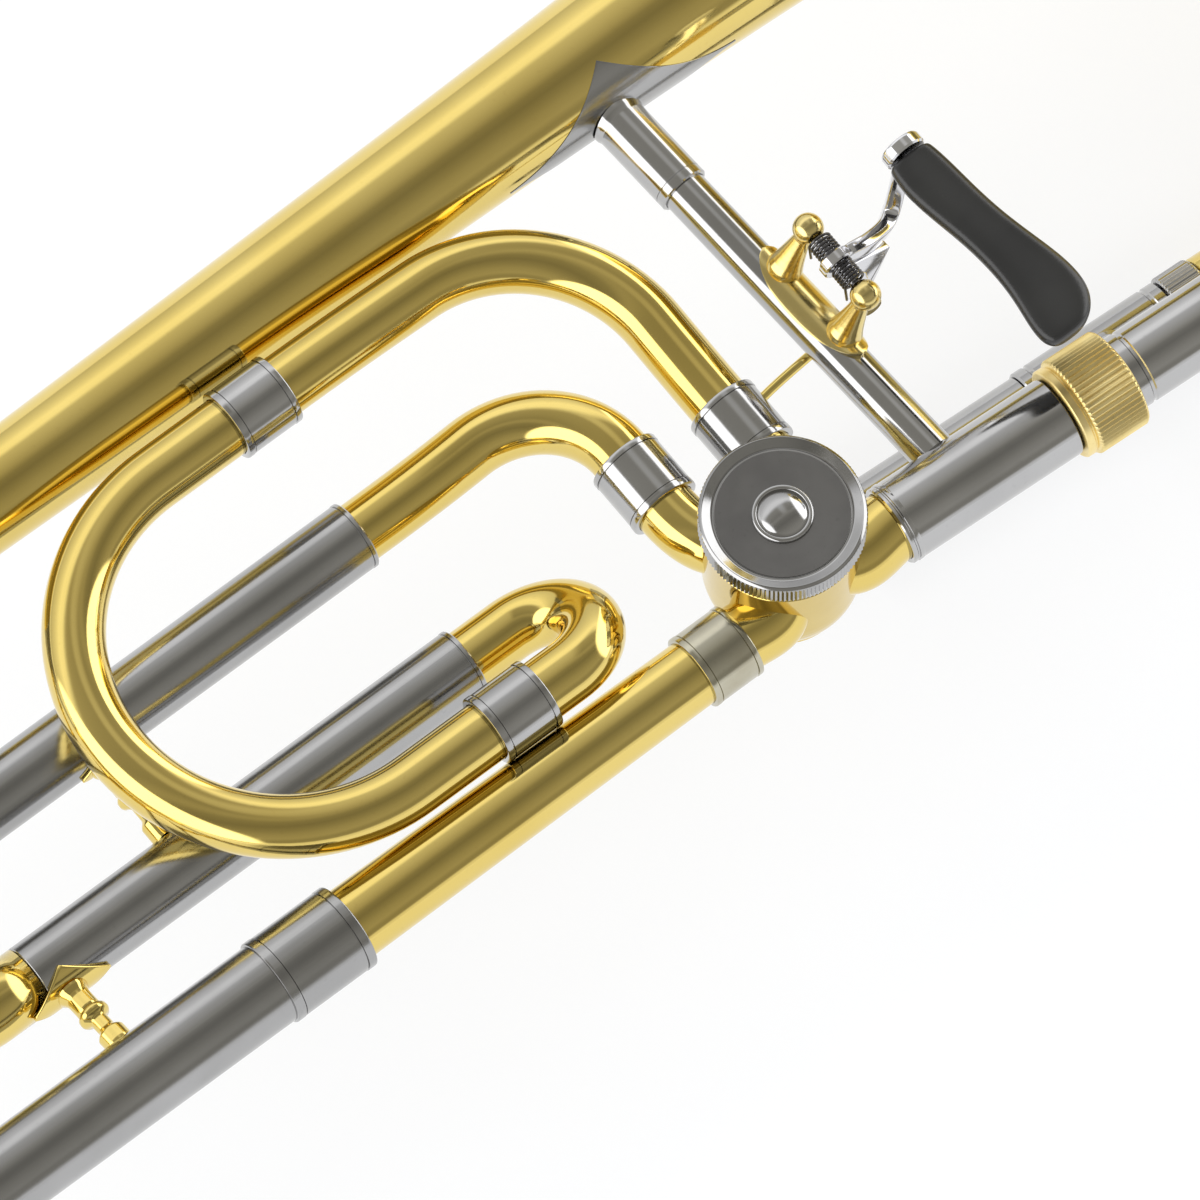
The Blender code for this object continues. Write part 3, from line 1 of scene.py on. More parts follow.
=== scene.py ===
import json
import math

import bmesh
import bpy
from mathutils import Matrix, Vector

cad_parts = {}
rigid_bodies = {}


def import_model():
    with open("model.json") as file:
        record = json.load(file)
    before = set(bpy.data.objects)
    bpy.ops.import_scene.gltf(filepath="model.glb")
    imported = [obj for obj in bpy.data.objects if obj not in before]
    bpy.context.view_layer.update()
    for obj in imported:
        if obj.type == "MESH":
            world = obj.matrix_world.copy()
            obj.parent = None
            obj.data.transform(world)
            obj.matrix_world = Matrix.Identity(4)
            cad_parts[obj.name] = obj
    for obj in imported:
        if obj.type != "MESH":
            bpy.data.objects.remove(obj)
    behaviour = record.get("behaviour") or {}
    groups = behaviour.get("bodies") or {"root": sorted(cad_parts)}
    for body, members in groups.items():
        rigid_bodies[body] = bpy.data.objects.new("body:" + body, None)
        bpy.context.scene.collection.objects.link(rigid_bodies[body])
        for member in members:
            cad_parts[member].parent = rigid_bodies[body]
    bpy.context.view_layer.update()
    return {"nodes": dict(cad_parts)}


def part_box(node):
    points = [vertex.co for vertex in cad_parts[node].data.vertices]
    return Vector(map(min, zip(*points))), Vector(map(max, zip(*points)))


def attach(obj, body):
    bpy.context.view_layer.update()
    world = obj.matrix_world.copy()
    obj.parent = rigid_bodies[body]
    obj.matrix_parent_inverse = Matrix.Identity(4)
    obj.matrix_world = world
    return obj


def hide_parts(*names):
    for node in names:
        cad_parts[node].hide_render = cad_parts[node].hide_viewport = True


for thing in list(bpy.data.objects):
    bpy.data.objects.remove(thing)

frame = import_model()
print("frame loaded:", len(frame["nodes"]), "nodes")

# the layout is measured from a point by the valve's axis, at the height of the tubes
valveX, valveY = 0.0006, 0.0014
capLow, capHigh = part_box("rotor_cap")
casingLow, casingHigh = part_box("rotor_casing")
home = Vector((
    (capLow.x + capHigh.x) / 2 - valveX,
    (capLow.y + capHigh.y) / 2 - valveY,
    (casingLow.z + casingHigh.z) / 2,
))
xAxis, yAxis, zAxis = Vector((1, 0, 0)), Vector((0, 1, 0)), Vector((0, 0, 1))
gap = 0.0003
wall = 0.0005
flat = math.cos(math.pi / 12)  # the solids' tubes have twelve sides, so less room inside
bell = "bell_section"
slideBodies = ("nut", "inner_slide", "lock_ring", "outer_slide", "water_key")  # these lie along the handslide

layout = {
    "bellY": 0.1085,
    "mainY": -0.0083,
    "receiverX": 0.0206,
    "receiverY": -0.0080,
    "splay": math.radians(3.0),
    "slideSpacing": 0.080,
    "slideAngle": math.asin((0.083 - 0.0085) / 0.080),
}
slideSide = Vector((0, math.cos(layout["slideAngle"]), -math.sin(layout["slideAngle"])))
slideHeading = Vector((math.cos(layout["splay"]), -math.sin(layout["splay"]), 0))
bellPlace = Matrix.Translation(home)
slidePlace = (
    Matrix.Translation(home + Vector((layout["receiverX"], layout["receiverY"], 0)))
    @ Matrix.Rotation(-layout["splay"], 4, "Z")
)


# shader maths
class Wire:
    # a socket whose arithmetic adds Math nodes
    def __init__(self, recipe, socket):
        self.recipe = recipe
        self.socket = socket

    def math(self, operation, *values):
        return self.recipe.node("ShaderNodeMath", {"operation": operation}, dict(enumerate(values)))

    def __add__(self, other):
        return self.math("ADD", self, other)

    def __radd__(self, other):
        return self.math("ADD", other, self)

    def __sub__(self, other):
        return self.math("SUBTRACT", self, other)

    def __rsub__(self, other):
        return self.math("SUBTRACT", other, self)

    def __mul__(self, other):
        return self.math("MULTIPLY", self, other)

    def __rmul__(self, other):
        return self.math("MULTIPLY", other, self)

    def over(self, low, high):
        # 0 at low, 1 at high, eased between them
        return self.recipe.node(
            "ShaderNodeMapRange", {"interpolation_type": "SMOOTHSTEP"}, {0: self, 1: low, 2: high}
        )


class Recipe:
    def __init__(self, tree):
        self.tree = tree

    def join(self, socket, value):
        if isinstance(value, Wire):
            self.tree.links.new(value.socket, socket)
        else:
            socket.default_value = value

    def node(self, kind, settings=None, inputs=None, output=0):
        made = self.tree.nodes.new(kind)
        for key, value in (settings or {}).items():
            if key == "stops":
                ramp = made.color_ramp
                while len(ramp.elements) < len(value):
                    ramp.elements.new(0.5)
                for element, (position, level) in zip(ramp.elements, value):
                    element.position = position
                    element.color = level
            else:
                setattr(made, key, value)
        self.fill(made, inputs or {})
        return Wire(self, made.outputs[output])

    def fill(self, made, inputs):
        for key, value in inputs.items():
            self.join(made.inputs[key], value)

    def noise(self, place, scale, detail=3.0, roughness=0.5):
        wanted = {"Vector": place, "Scale": scale, "Detail": detail, "Roughness": roughness}
        return self.node("ShaderNodeTexNoise", {}, wanted)

    def mix(self, share, first, second):
        return self.node("ShaderNodeMix", {"data_type": "RGBA"}, {0: share, 6: first, 7: second}, 2)

    def bumps(self, height, strength, distance):
        return self.node("ShaderNodeBump", {}, {"Strength": strength, "Distance": distance, "Height": height})

    def stretched(self, place, scale):
        return self.node("ShaderNodeMapping", {}, {"Vector": place, "Scale": scale})


def colour(red, green, blue):
    return (red, green, blue, 1.0)


def newMaterial(name):
    material = bpy.data.materials.new(name)
    material.use_nodes = True
    recipe = Recipe(material.node_tree)
    shader = material.node_tree.nodes["Principled BSDF"]
    place = recipe.node("ShaderNodeTexCoord", {}, {}, "Object")
    return material, recipe, shader, place


def makeMetal(name, look):
    material, recipe, shader, place = newMaterial(name)
    cloud = recipe.noise(place, look["cloudScale"], 3.0, 0.55)
    spots = recipe.noise(place, 900.0, 2.0, 0.5).over(0.62, 0.78)
    tone = recipe.mix(cloud.over(0.35, 0.7), colour(*look["colour"]), colour(*look["shade"]))
    grain = recipe.noise(recipe.stretched(place, look["grain"]), 1.0, 4.0, 0.6)
    peel = recipe.noise(place, look["peelScale"], 1.0, 0.4)
    roughness = look["roughness"] + (cloud - 0.5) * look["roughnessCloud"] + (grain - 0.5) * look["roughnessGrain"]
    recipe.fill(shader, {
        "Base Color": recipe.mix(spots * look["spots"], tone, colour(*look["spot"])),
        "Roughness": roughness,
        "Normal": recipe.bumps(grain * look["grainHeight"] + peel * look["peelHeight"], 1.0, 0.001),
        "Metallic": 1.0, "Coat Weight": look["coat"], "Coat Roughness": 0.03,
    })
    return material


def makeDark(name, look):
    # moulded plastic or rubber: a fine grain, slightly cloudy
    material, recipe, shader, place = newMaterial(name)
    cloud = recipe.noise(place, 60.0, 3.0, 0.5)
    grain = recipe.noise(place, look["grainScale"], 3.0, 0.6)
    recipe.fill(shader, {
        "Base Color": recipe.mix(cloud.over(0.3, 0.7), colour(*look["colour"]), colour(*look["shade"])),
        "Roughness": look["roughness"] + (grain - 0.5) * 0.12 + (cloud - 0.5) * 0.06,
        "Normal": recipe.bumps(grain, 0.5, look["depth"]), "Specular IOR Level": look["specular"],
    })
    return material


plainLook = {
    "cloudScale": 90.0, "spots": 0.15, "roughness": 0.1, "roughnessCloud": 0.05,
    "roughnessGrain": 0.05, "grain": (500.0, 500.0, 500.0), "grainHeight": 0.003, "peelScale": 200.0,
    "peelHeight": 0.006, "coat": 0.0,
}
metalLooks = {  # each look says only where it differs from the plain one
    "lacqueredBrass": {
        "slot": "brass", "colour": (0.790, 0.612, 0.188), "shade": (0.755, 0.572, 0.158), "spot": (0.52, 0.33, 0.08),
        "cloudScale": 22.0, "spots": 0.10, "roughness": 0.085, "roughnessGrain": 0.03, "grain": (30.0, 500.0, 500.0),
        "grainHeight": 0.0012, "peelScale": 160.0, "peelHeight": 0.010, "coat": 0.25,
    },
    "castBrass": {
        "slot": "brass", "colour": (0.800, 0.650, 0.270), "shade": (0.740, 0.580, 0.210), "spot": (0.52, 0.33, 0.08),
        "cloudScale": 70.0, "roughness": 0.20, "roughnessCloud": 0.08, "grainHeight": 0.004, "peelScale": 300.0,
        "peelHeight": 0.012, "coat": 0.2,
    },
    "casingBrass": {
        "slot": "brass", "colour": (0.690, 0.520, 0.150), "shade": (0.640, 0.470, 0.120), "spot": (0.45, 0.28, 0.06),
        "cloudScale": 40.0, "spots": 0.12, "roughness": 0.08, "roughnessGrain": 0.04, "peelScale": 260.0,
        "peelHeight": 0.012, "coat": 0.2,
    },
    "brightBrass": {
        "slot": "bright_brass", "colour": (0.94, 0.77, 0.36), "shade": (0.88, 0.69, 0.29), "spot": (0.6, 0.42, 0.15),
        "cloudScale": 120.0, "spots": 0.25, "roughness": 0.36, "roughnessCloud": 0.10, "roughnessGrain": 0.08,
        "grain": (3000.0, 300.0, 300.0), "grainHeight": 0.010, "peelScale": 500.0,
    },
    "rawBrass": {
        "colour": (0.70, 0.52, 0.24), "shade": (0.60, 0.42, 0.18), "spot": (0.35, 0.24, 0.10),
        "cloudScale": 80.0, "spots": 0.35, "roughness": 0.34, "roughnessCloud": 0.12, "roughnessGrain": 0.10,
        "grain": (300.0, 300.0, 2500.0), "grainHeight": 0.012, "peelScale": 400.0,
    },
    "satinNickel": {
        "slot": "satin_nickel", "colour": (0.435, 0.433, 0.431), "shade": (0.380, 0.378, 0.374),
        "spot": (0.22, 0.22, 0.22), "cloudScale": 30.0, "spots": 0.12, "roughness": 0.17, "roughnessCloud": 0.06,
        "roughnessGrain": 0.14, "grain": (11.0, 1300.0, 1300.0), "grainHeight": 0.021, "peelScale": 220.0,
    },
    "polishedNickel": {
        "slot": "polished_nickel", "colour": (0.495, 0.492, 0.490), "shade": (0.440, 0.438, 0.436),
        "spot": (0.28, 0.28, 0.28),
        "cloudScale": 40.0, "spots": 0.10, "roughness": 0.12, "grain": (400.0, 900.0, 900.0),
    },
    "capNickel": {
        "slot": "polished_nickel", "colour": (0.430, 0.428, 0.426), "shade": (0.360, 0.358, 0.356),
        "spot": (0.20, 0.20, 0.20), "spots": 0.25,
        "roughnessCloud": 0.06, "grain": (700.0, 700.0, 700.0), "grainHeight": 0.004, "peelScale": 260.0,
    },
    "warmNickel": {
        "slot": "polished_nickel", "colour": (0.530, 0.505, 0.400), "shade": (0.470, 0.435, 0.330),
        "spot": (0.30, 0.26, 0.18), "roughness": 0.14, "roughnessCloud": 0.06, "roughnessGrain": 0.06,
        "grain": (60.0, 900.0, 900.0),
        "grainHeight": 0.005,
    },
    "darkNickel": {
        "slot": "polished_nickel", "colour": (0.245, 0.242, 0.240), "shade": (0.215, 0.212, 0.212),
        "spot": (0.13, 0.13, 0.13), "spots": 0.20,
        "roughness": 0.33, "roughnessCloud": 0.08, "roughnessGrain": 0.06, "grain": (700.0, 700.0, 700.0),
        "grainHeight": 0.006, "peelScale": 300.0, "peelHeight": 0.004,
    },
    "leverChrome": {
        "slot": "lever_chrome", "colour": (0.72, 0.72, 0.74), "shade": (0.66, 0.66, 0.68), "spot": (0.4, 0.4, 0.42),
        "cloudScale": 60.0, "spots": 0.06, "roughnessCloud": 0.04, "roughnessGrain": 0.02, "grainHeight": 0.002,
        "peelHeight": 0.010,
    },
    "turnedSteel": {
        "slot": "steel", "colour": (0.50, 0.50, 0.51), "shade": (0.42, 0.42, 0.43), "spot": (0.2, 0.2, 0.2),
        "roughness": 0.24, "roughnessCloud": 0.08, "roughnessGrain": 0.08, "grain": (300.0, 2500.0, 300.0),
        "grainHeight": 0.006, "peelScale": 300.0, "peelHeight": 0.004,
    },
    "bluedWire": {
        "slot": "blued_steel", "colour": (0.120, 0.115, 0.115), "shade": (0.060, 0.060, 0.066),
        "spot": (0.03, 0.03, 0.03), "cloudScale": 200.0, "spots": 0.2, "roughness": 0.22, "roughnessCloud": 0.08,
        "grain": (600.0, 600.0, 600.0), "peelScale": 500.0, "peelHeight": 0.003,
    },
}
darkLooks = {
    "paddleBlack": {
        "slot": "black_plastic", "colour": (0.021, 0.021, 0.021), "shade": (0.027, 0.027, 0.026),
        "grainScale": 2600.0, "roughness": 0.24, "specular": 0.48, "depth": 0.00004,
    },
    "stopRubber": {
        "slot": "black_rubber", "colour": (0.022, 0.021, 0.020), "shade": (0.034, 0.033, 0.031),
        "grainScale": 1800.0, "roughness": 0.72, "specular": 0.3, "depth": 0.0003,
    },
}
looks = {name: dict(plainLook, **look) for name, look in metalLooks.items()}
materials = {name: makeMetal(name, look) for name, look in looks.items()}
materials.update({name: makeDark(name, look) for name, look in darkLooks.items()})
looks.update(darkLooks)
print("materials made:", len(materials))


# shapes
def facing(at, along):
    return Matrix.Translation(Vector(at)) @ Vector(along).to_track_quat("Z", "Y").to_matrix().to_4x4()


def linked(name, data):
    made = bpy.data.objects.new(name, data)
    bpy.context.scene.collection.objects.link(made)
    return made


def meshed(name, shape):
    mesh = bpy.data.meshes.new(name)
    shape.to_mesh(mesh)
    shape.free()
    return linked(name, mesh)


def settle(name, shape, look, body, node=None, place=None, wallThickness=0.0, sharp=32.0):
    # makes a bmesh a finished piece that rides on its body, in place of the node that has its name
    if place is None:
        place = slidePlace if body in slideBodies else bellPlace
    node = node or "".join("_" + letter.lower() if letter.isupper() else letter for letter in name)
    bmesh.ops.transform(shape, matrix=place, verts=shape.verts)
    bmesh.ops.recalc_face_normals(shape, faces=shape.faces)
    piece = meshed(name, shape)
    piece.data.shade_smooth()
    piece.data.set_sharp_from_angle(angle=math.radians(sharp))
    piece.data.materials.append(materials[look])
    if wallThickness:
        shell = piece.modifiers.new("wall", "SOLIDIFY")
        shell.thickness = wallThickness
        shell.offset = -1.0
    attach(piece, body)
    if node in frame["nodes"]:
        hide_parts(node)
    return piece


def plated(piece, thickness, edgeWidth=0.0, segments=2):
    # gives a laid-on sheet its thickness, and rounds its edges
    shell = piece.modifiers.new("plate", "SOLIDIFY")
    shell.thickness = thickness
    shell.offset = 1.0
    if edgeWidth:
        edge = piece.modifiers.new("edge", "BEVEL")
        edge.width = edgeWidth
        edge.segments = segments
        edge.limit_method = "ANGLE"


def rounded(shape, edges, offset, segments=2):
    bmesh.ops.bevel(shape, geom=edges, offset=offset, segments=segments, affect="EDGES", profile=0.5, material=-1)


def grown(shape, edges):
    # the next ring of an extruded line of rings
    made = bmesh.ops.extrude_edge_only(shape, edges=edges)["geom"]
    ring = [item for item in made if isinstance(item, bmesh.types.BMVert)]
    kept = set(ring)
    return ring, [item for item in made if isinstance(item, bmesh.types.BMEdge) and set(item.verts) <= kept]


def braced(stations, hollow):
    # a long run gets a ring close to each of its ends, so that its shading stays even
    ends = stations[1:] + (stations[:1] if hollow else [])
    kept = []
    for (distance, radius), (nextDistance, nextRadius) in zip(stations, ends):
        kept.append((distance, radius))
        reach = math.hypot(nextDistance - distance, nextRadius - radius)
        if reach > 0.0012 and min(radius, nextRadius) > 0:
            for share in (0.0002 / reach, 1 - 0.0002 / reach):
                kept.append((distance + (nextDistance - distance) * share, radius + (nextRadius - radius) * share))
    return kept if hollow else kept + [stations[-1]]


def lathe(stations, at, along, steps=64, hollow=False):
    shape = bmesh.new()
    stations = braced(stations, hollow)
    corners = [shape.verts.new((radius, 0, distance)) for distance, radius in stations]
    lines = [shape.edges.new(pair) for pair in zip(corners, corners[1:])]
    if hollow:
        lines.append(shape.edges.new((corners[-1], corners[0])))
    bmesh.ops.spin(
        shape, geom=corners + lines, cent=(0, 0, 0), axis=(0, 0, 1), angle=2 * math.pi, steps=steps, use_merge=True
    )
    bmesh.ops.remove_doubles(shape, verts=shape.verts, dist=0.0000005)
    bmesh.ops.transform(shape, matrix=facing(at, along), verts=shape.verts)
    return shape


def turned(name, look, body, stations, at, along, steps=64, hollow=False, **more):
    settle(name, lathe(stations, at, along, steps, hollow), look, body, **more)


def sleeveStations(length, radius, bore, soft=0.00025):
    # a plain tube with its four edges broken
    return [
        (0, bore + soft), (0, radius - soft), (soft, radius), (length - soft, radius),
        (length, radius - soft), (length, bore + soft), (length - soft, bore), (soft, bore),
    ]


def groove(at, radius, depth, slope, width):
    # a line cut round a turned piece
    return [
        (at, radius), (at + slope, radius - depth), (at + width - slope, radius - depth), (at + width, radius),
    ]


def ringStations(low, high, radius, bore=0.0, soft=0.0003):
    # a disc or a ring with its two outer edges broken
    return [
        (low, bore), (low, radius - soft), (low + soft, radius), (high - soft, radius), (high, radius - soft),
        (high, bore),
    ]


def fuller(value, power, reach=1.0):
    # moves a corner of a round section outwards, towards a squared one
    return math.copysign(abs(value / reach) ** power, value) * reach


def sweep(points, radius, sides=40, tapers=None, capped=False, flat=1.0, flatTowards=None, squared=False):
    # a ring of edges, extruded from point to point and turned into each new heading
    shape = bmesh.new()
    tapers = tapers or [1.0] * len(points)
    ring = bmesh.ops.create_circle(shape, cap_ends=capped, segments=sides, radius=radius * tapers[0])["verts"]
    if squared:
        reach = radius * tapers[0]
        for corner in ring:
            corner.co.x, corner.co.y = fuller(corner.co.x, 0.35, reach), fuller(corner.co.y, 0.35, reach)
    if flat != 1.0:
        bmesh.ops.scale(shape, verts=ring, vec=(flat, 1.0, 1.0))
    heading = (points[1] - points[0]).normalized()
    if flatTowards is not None:
        side = Vector(flatTowards).normalized()
        other = heading.cross(side).normalized()
        side = other.cross(heading)
        turn = Matrix((side, other, heading)).transposed().to_4x4()
        bmesh.ops.transform(shape, matrix=Matrix.Translation(points[0]) @ turn, verts=ring)
    else:
        bmesh.ops.transform(shape, matrix=facing(points[0], heading), verts=ring)
    edges = shape.edges[:]
    for index in range(1, len(points)):
        ring, edges = grown(shape, edges)
        bmesh.ops.translate(shape, verts=ring, vec=points[index] - points[index - 1])
        before = (points[index] - points[index - 1]).normalized()
        after = (points[index + 1] - points[index]).normalized() if index + 1 < len(points) else before
        wanted = (before + after).normalized()
        turn = heading.rotation_difference(wanted).to_matrix()
        bmesh.ops.rotate(shape, verts=ring, cent=points[index], matrix=turn)
        growth = tapers[index] / tapers[index - 1]
        if growth != 1.0:
            around = Matrix.Translation(points[index])
            bmesh.ops.scale(shape, verts=ring, vec=(growth,) * 3, space=around.inverted())
        heading = wanted
    if capped:
        bmesh.ops.holes_fill(shape, edges=edges, sides=0)
    return shape


class Route:
    # a path of straight runs and bends
    def __init__(self, start, heading):
        self.points = [Vector(start)]
        self.heading = Vector(heading).normalized()

    def ahead(self, distance, steps=1):
        for _ in range(steps):
            self.points.append(self.points[-1] + self.heading * distance / steps)
        return self

    def bend(self, radius, degrees, towards, steps):
        towards = Vector(towards).normalized()
        centre = self.points[-1] + towards * radius
        begun = self.heading.copy()
        for step in range(1, steps + 1):
            angle = math.radians(degrees) * step / steps
            self.points.append(centre + (begun * math.sin(angle) - towards * math.cos(angle)) * radius)
        angle = math.radians(degrees)
        self.heading = begun * math.cos(angle) + towards * math.sin(angle)
        return self

    def climbing(self, rise, level, late=1.0):
        lengths = [0.0]
        for before, after in zip(self.points, self.points[1:]):
            lengths.append(lengths[-1] + (after - before).length)
        for point, length in zip(self.points, lengths):
            share = min(1, max(0, (length - level) / (lengths[-1] - 2 * level))) ** late
            point.z += rise * share * share * (3 - 2 * share)
        return self.points


def eased(start, startHeading, end, endHeading, pull, steps):
    points = []
    for step in range(steps + 1):
        t = step / steps
        points.append(
            Vector(start) * (2 * t**3 - 3 * t**2 + 1)
            + Vector(startHeading) * pull * (t**3 - 2 * t**2 + t)
            + Vector(end) * (3 * t**2 - 2 * t**3)
            + Vector(endHeading) * pull * (t**3 - t**2)
        )
    return points


def smoothLine(knots, widths, steps):
    # a curve through the knots, with a width that changes along it
    points, tapers = [], []
    for index in range(len(knots) - 1):
        before = knots[max(0, index - 1)]
        first, second = knots[index], knots[index + 1]
        after = knots[min(len(knots) - 1, index + 2)]
        piece = eased(first, (second - before) / 2, second, (after - first) / 2, 1.0, steps)
        for step, point in enumerate(piece[:-1]):
            points.append(point)
            tapers.append(widths[index] + (widths[index + 1] - widths[index]) * step / steps)
    return points + [knots[-1]], tapers + [widths[-1]]


def boat(tip):
    # an outline that narrows towards its tips as an ellipse does
    return lambda share: tip + (1 - tip) * math.sqrt(max(0.0, 1 - share * share))


def diamond(tip, curve=1.0):
    return lambda share: tip + (1 - tip) * (1 - abs(share)) ** curve


def wrappedPlate(at, along, middle, length, spread, radiusAt, outline, cells):
    # a grid laid on a round body, so that its outline follows the body
    along = Vector(along).normalized()
    middle = Vector(middle).normalized()
    side = middle.cross(along)
    shape = bmesh.new()
    bmesh.ops.create_grid(shape, x_segments=cells[0], y_segments=cells[1], size=1.0)
    for corner in shape.verts:
        distance = corner.co.x * length / 2
        angle = corner.co.y * spread * outline(corner.co.x)
        radial = middle * math.cos(angle) + side * math.sin(angle)
        corner.co = Vector(at) + along * distance + radial * radiusAt(distance)
    bmesh.ops.remove_doubles(shape, verts=shape.verts, dist=0.000001)
    return shape


# bell
bellForm = {
    "tailX": -0.140, "rimX": 0.200, "rimRadius": 0.083, "tailRadius": 0.0103, "taper": 0.0155,
    "throatFlare": 0.0276, "throatReach": 0.045, "lipReach": 0.010, "bead": 0.0014, "stations": 90,
}


def bellRadius(x):
    form = bellForm
    cone = form["tailRadius"] + form["taper"] * (x - form["tailX"])
    coneAtRim = form["tailRadius"] + form["taper"] * (form["rimX"] - form["tailX"])
    lip = form["rimRadius"] - coneAtRim - form["throatFlare"]
    back = form["rimX"] - x
    throat = form["throatFlare"] * math.exp(-back / form["throatReach"])
    return cone + throat + lip * math.exp(-back / form["lipReach"])


def makeBell():
    form = bellForm
    length = form["rimX"] - form["tailX"]
    bead = form["bead"]
    outer = []
    for index in range(form["stations"]):
        share = index / form["stations"]
        distance = length * (1 - (1 - share) ** 2.1) * 0.993
        outer.append((distance, bellRadius(form["tailX"] + distance)))
    inner = [(distance, radius - wall) for distance, radius in outer]
    centre = form["rimRadius"] - bead
    rim = [
        (length + bead * math.sin(math.radians(turn)), centre + bead * math.cos(math.radians(turn)))
        for turn in range(-80, 171, 25)
    ]
    turned(
        "bellFlare", "lacqueredBrass", bell, outer + rim + inner[::-1], (form["tailX"], layout["bellY"], 0), xAxis,
        160, True, node="bell"
    )


flangeForm = {"rearX": 0.006, "frontX": 0.062, "spread": math.radians(68.0), "thickness": 0.0012, "curve": 1.7,
              "edge": 0.0004}


def makeBellFlange():
    form = flangeForm
    middleX = (form["rearX"] + form["frontX"]) / 2
    shape = wrappedPlate(
        (middleX, layout["bellY"], 0), xAxis, -yAxis, form["frontX"] - form["rearX"], form["spread"],
        lambda distance: bellRadius(middleX + distance) + 0.00012,
        diamond(0.015, form["curve"]), (72, 40),
    )
    plated(settle("bellFlange", shape, "satinNickel", bell), form["thickness"], form["edge"], 3)


braceForm = {
    "bellX": 0.0327, "receiverX": 0.0377, "radius": 0.00475, "socketRadius": 0.0056, "socketLength": 0.0205,
    "depth": 0.006, "groove": 0.0023, "footReach": 0.0030, "shortfall": 0.0074,
}


def slideLineY(x):
    return layout["receiverY"] - (x - layout["receiverX"]) * math.tan(layout["splay"])


braceStart = Vector((braceForm["bellX"], layout["bellY"] - bellRadius(braceForm["bellX"]), 0))
braceEnd = Vector((braceForm["receiverX"], slideLineY(braceForm["receiverX"]), 0))
braceAlong = (braceEnd - braceStart).normalized()


def makeBrace():
    form = braceForm
    radius, length = form["socketRadius"], form["socketLength"]
    stations = [(0, form["radius"] + gap), (0, radius + 0.0004), (0.0008, radius + 0.0003), (0.0015, radius)]
    stations += groove(length - form["groove"], radius, 0.0002, 0.0001, 0.0004)
    stations += [
        (length - 0.0003, radius), (length, radius - 0.0003), (length, form["radius"] + 0.0001),
        (length - 0.001, form["radius"] + 0.0001),
    ]
    shape = lathe(stations, braceStart, braceAlong, 72, True)
    girth = bellRadius(form["bellX"]) + 0.0008
    for corner in shape.verts:  # the foot follows the round of the bell
        depth = (corner.co - braceStart).dot(braceAlong)
        if depth < form["footReach"]:
            sagging = girth - math.sqrt(girth**2 - corner.co.z**2)
            corner.co -= braceAlong * sagging * (1 - depth / form["footReach"])
    settle("braceSocket", shape, "polishedNickel", bell)
    start = braceStart + braceAlong * (length - form["depth"])
    reach = (braceEnd - start).length - form["shortfall"]
    turned(
        "braceTube", "polishedNickel", bell, sleeveStations(reach, form["radius"], form["radius"] - wall * 1.6),
        start, braceAlong, 72, True
    )


# handslide receiver, lock nut and valve
receiverForm = {"length": 0.0415, "radius": 0.00865, "ring": 0.0011, "rise": 0.0003, "throat": 0.0076}
nutForm = {"length": 0.0144, "radius": 0.0109, "teeth": 56, "depth": 0.00042, "collar": 0.0026, "bore": 0.00766}


def makeReceiver():
    form = receiverForm
    radius, ring, rise, bore = form["radius"], form["ring"], form["rise"], form["radius"] - 0.0006
    length, throat = form["length"], form["throat"]
    stations = [
        (0.0002, throat), (0.0, throat + 0.0004), (0.0, radius - 0.0003), (0.0003, radius), (ring - 0.0002, radius),
        (ring, radius - 0.0002), (ring + 0.0003, radius - 0.0002), (ring + 0.0004, radius + rise * 0.4),
        (ring * 2.1, radius + rise * 0.4), (ring * 2.1 + 0.0002, radius),
        (length - 0.0004, radius), (length, radius - 0.0004), (length, bore), (0.0022, bore), (0.0018, throat),
    ]
    turned("slideReceiver", "polishedNickel", bell, stations, (0, 0, 0), xAxis, 96, True, place=slidePlace)


def ribbed(shape, axisPoint, along, teeth, depth, low, high, least):
    # draws every other column of a turned band inwards, as on a straight knurl
    along = Vector(along).normalized()
    for corner in shape.verts:
        offset = corner.co - Vector(axisPoint)
        distance = offset.dot(along)
        radial = offset - along * distance
        if low <= distance <= high and radial.length > least:
            side = along.orthogonal().normalized()
            angle = math.atan2(radial.dot(along.cross(side)), radial.dot(side))
            share = (math.cos(angle * teeth) + 1) / 2
            corner.co -= radial.normalized() * depth * share


def makeLockNut():
    form = nutForm
    radius, bore, length, collar = form["radius"], form["bore"], form["length"], form["collar"]
    start = receiverForm["length"] + gap
    stations = [
        (0, bore), (0, radius - 0.0011), (0.0003, radius - 0.0008), (collar - 0.0009, radius - 0.0008),
        (collar - 0.0006, radius - 0.0012), (collar - 0.0003, radius - 0.0012), (collar, radius - 0.0004),
        (collar + 0.0004, radius), (length - 0.0005, radius), (length - 0.0001, radius - 0.0004),
        (length, radius - 0.0008), (length, bore),
    ]
    shape = lathe(stations, (start, 0, 0), xAxis, form["teeth"] * 6, True)
    low, high = collar + 0.0002, length - 0.0003
    ribbed(shape, (start, 0, 0), xAxis, form["teeth"], form["depth"], low, high, radius - 0.00002)
    settle("lockNut", shape, "brightBrass", "nut", sharp=50)


valveForm = {
    "casing": 0.0162, "half": 0.0140, "plate": 0.0022, "cap": 0.0170, "capHeight": 0.0057, "recess": 0.0144,
    "slope": 0.0017, "recessDepth": 0.00105, "boss": 0.0063, "dome": 0.0074,
    "teeth": 120, "knurl": 0.00030, "waist": 0.0136, "foot": 0.0130, "bore": 0.0142, "well": 0.0116,
    "drawn": 0.0080, "plateBore": 0.0034, "knuckleDepth": 0.0034,
}


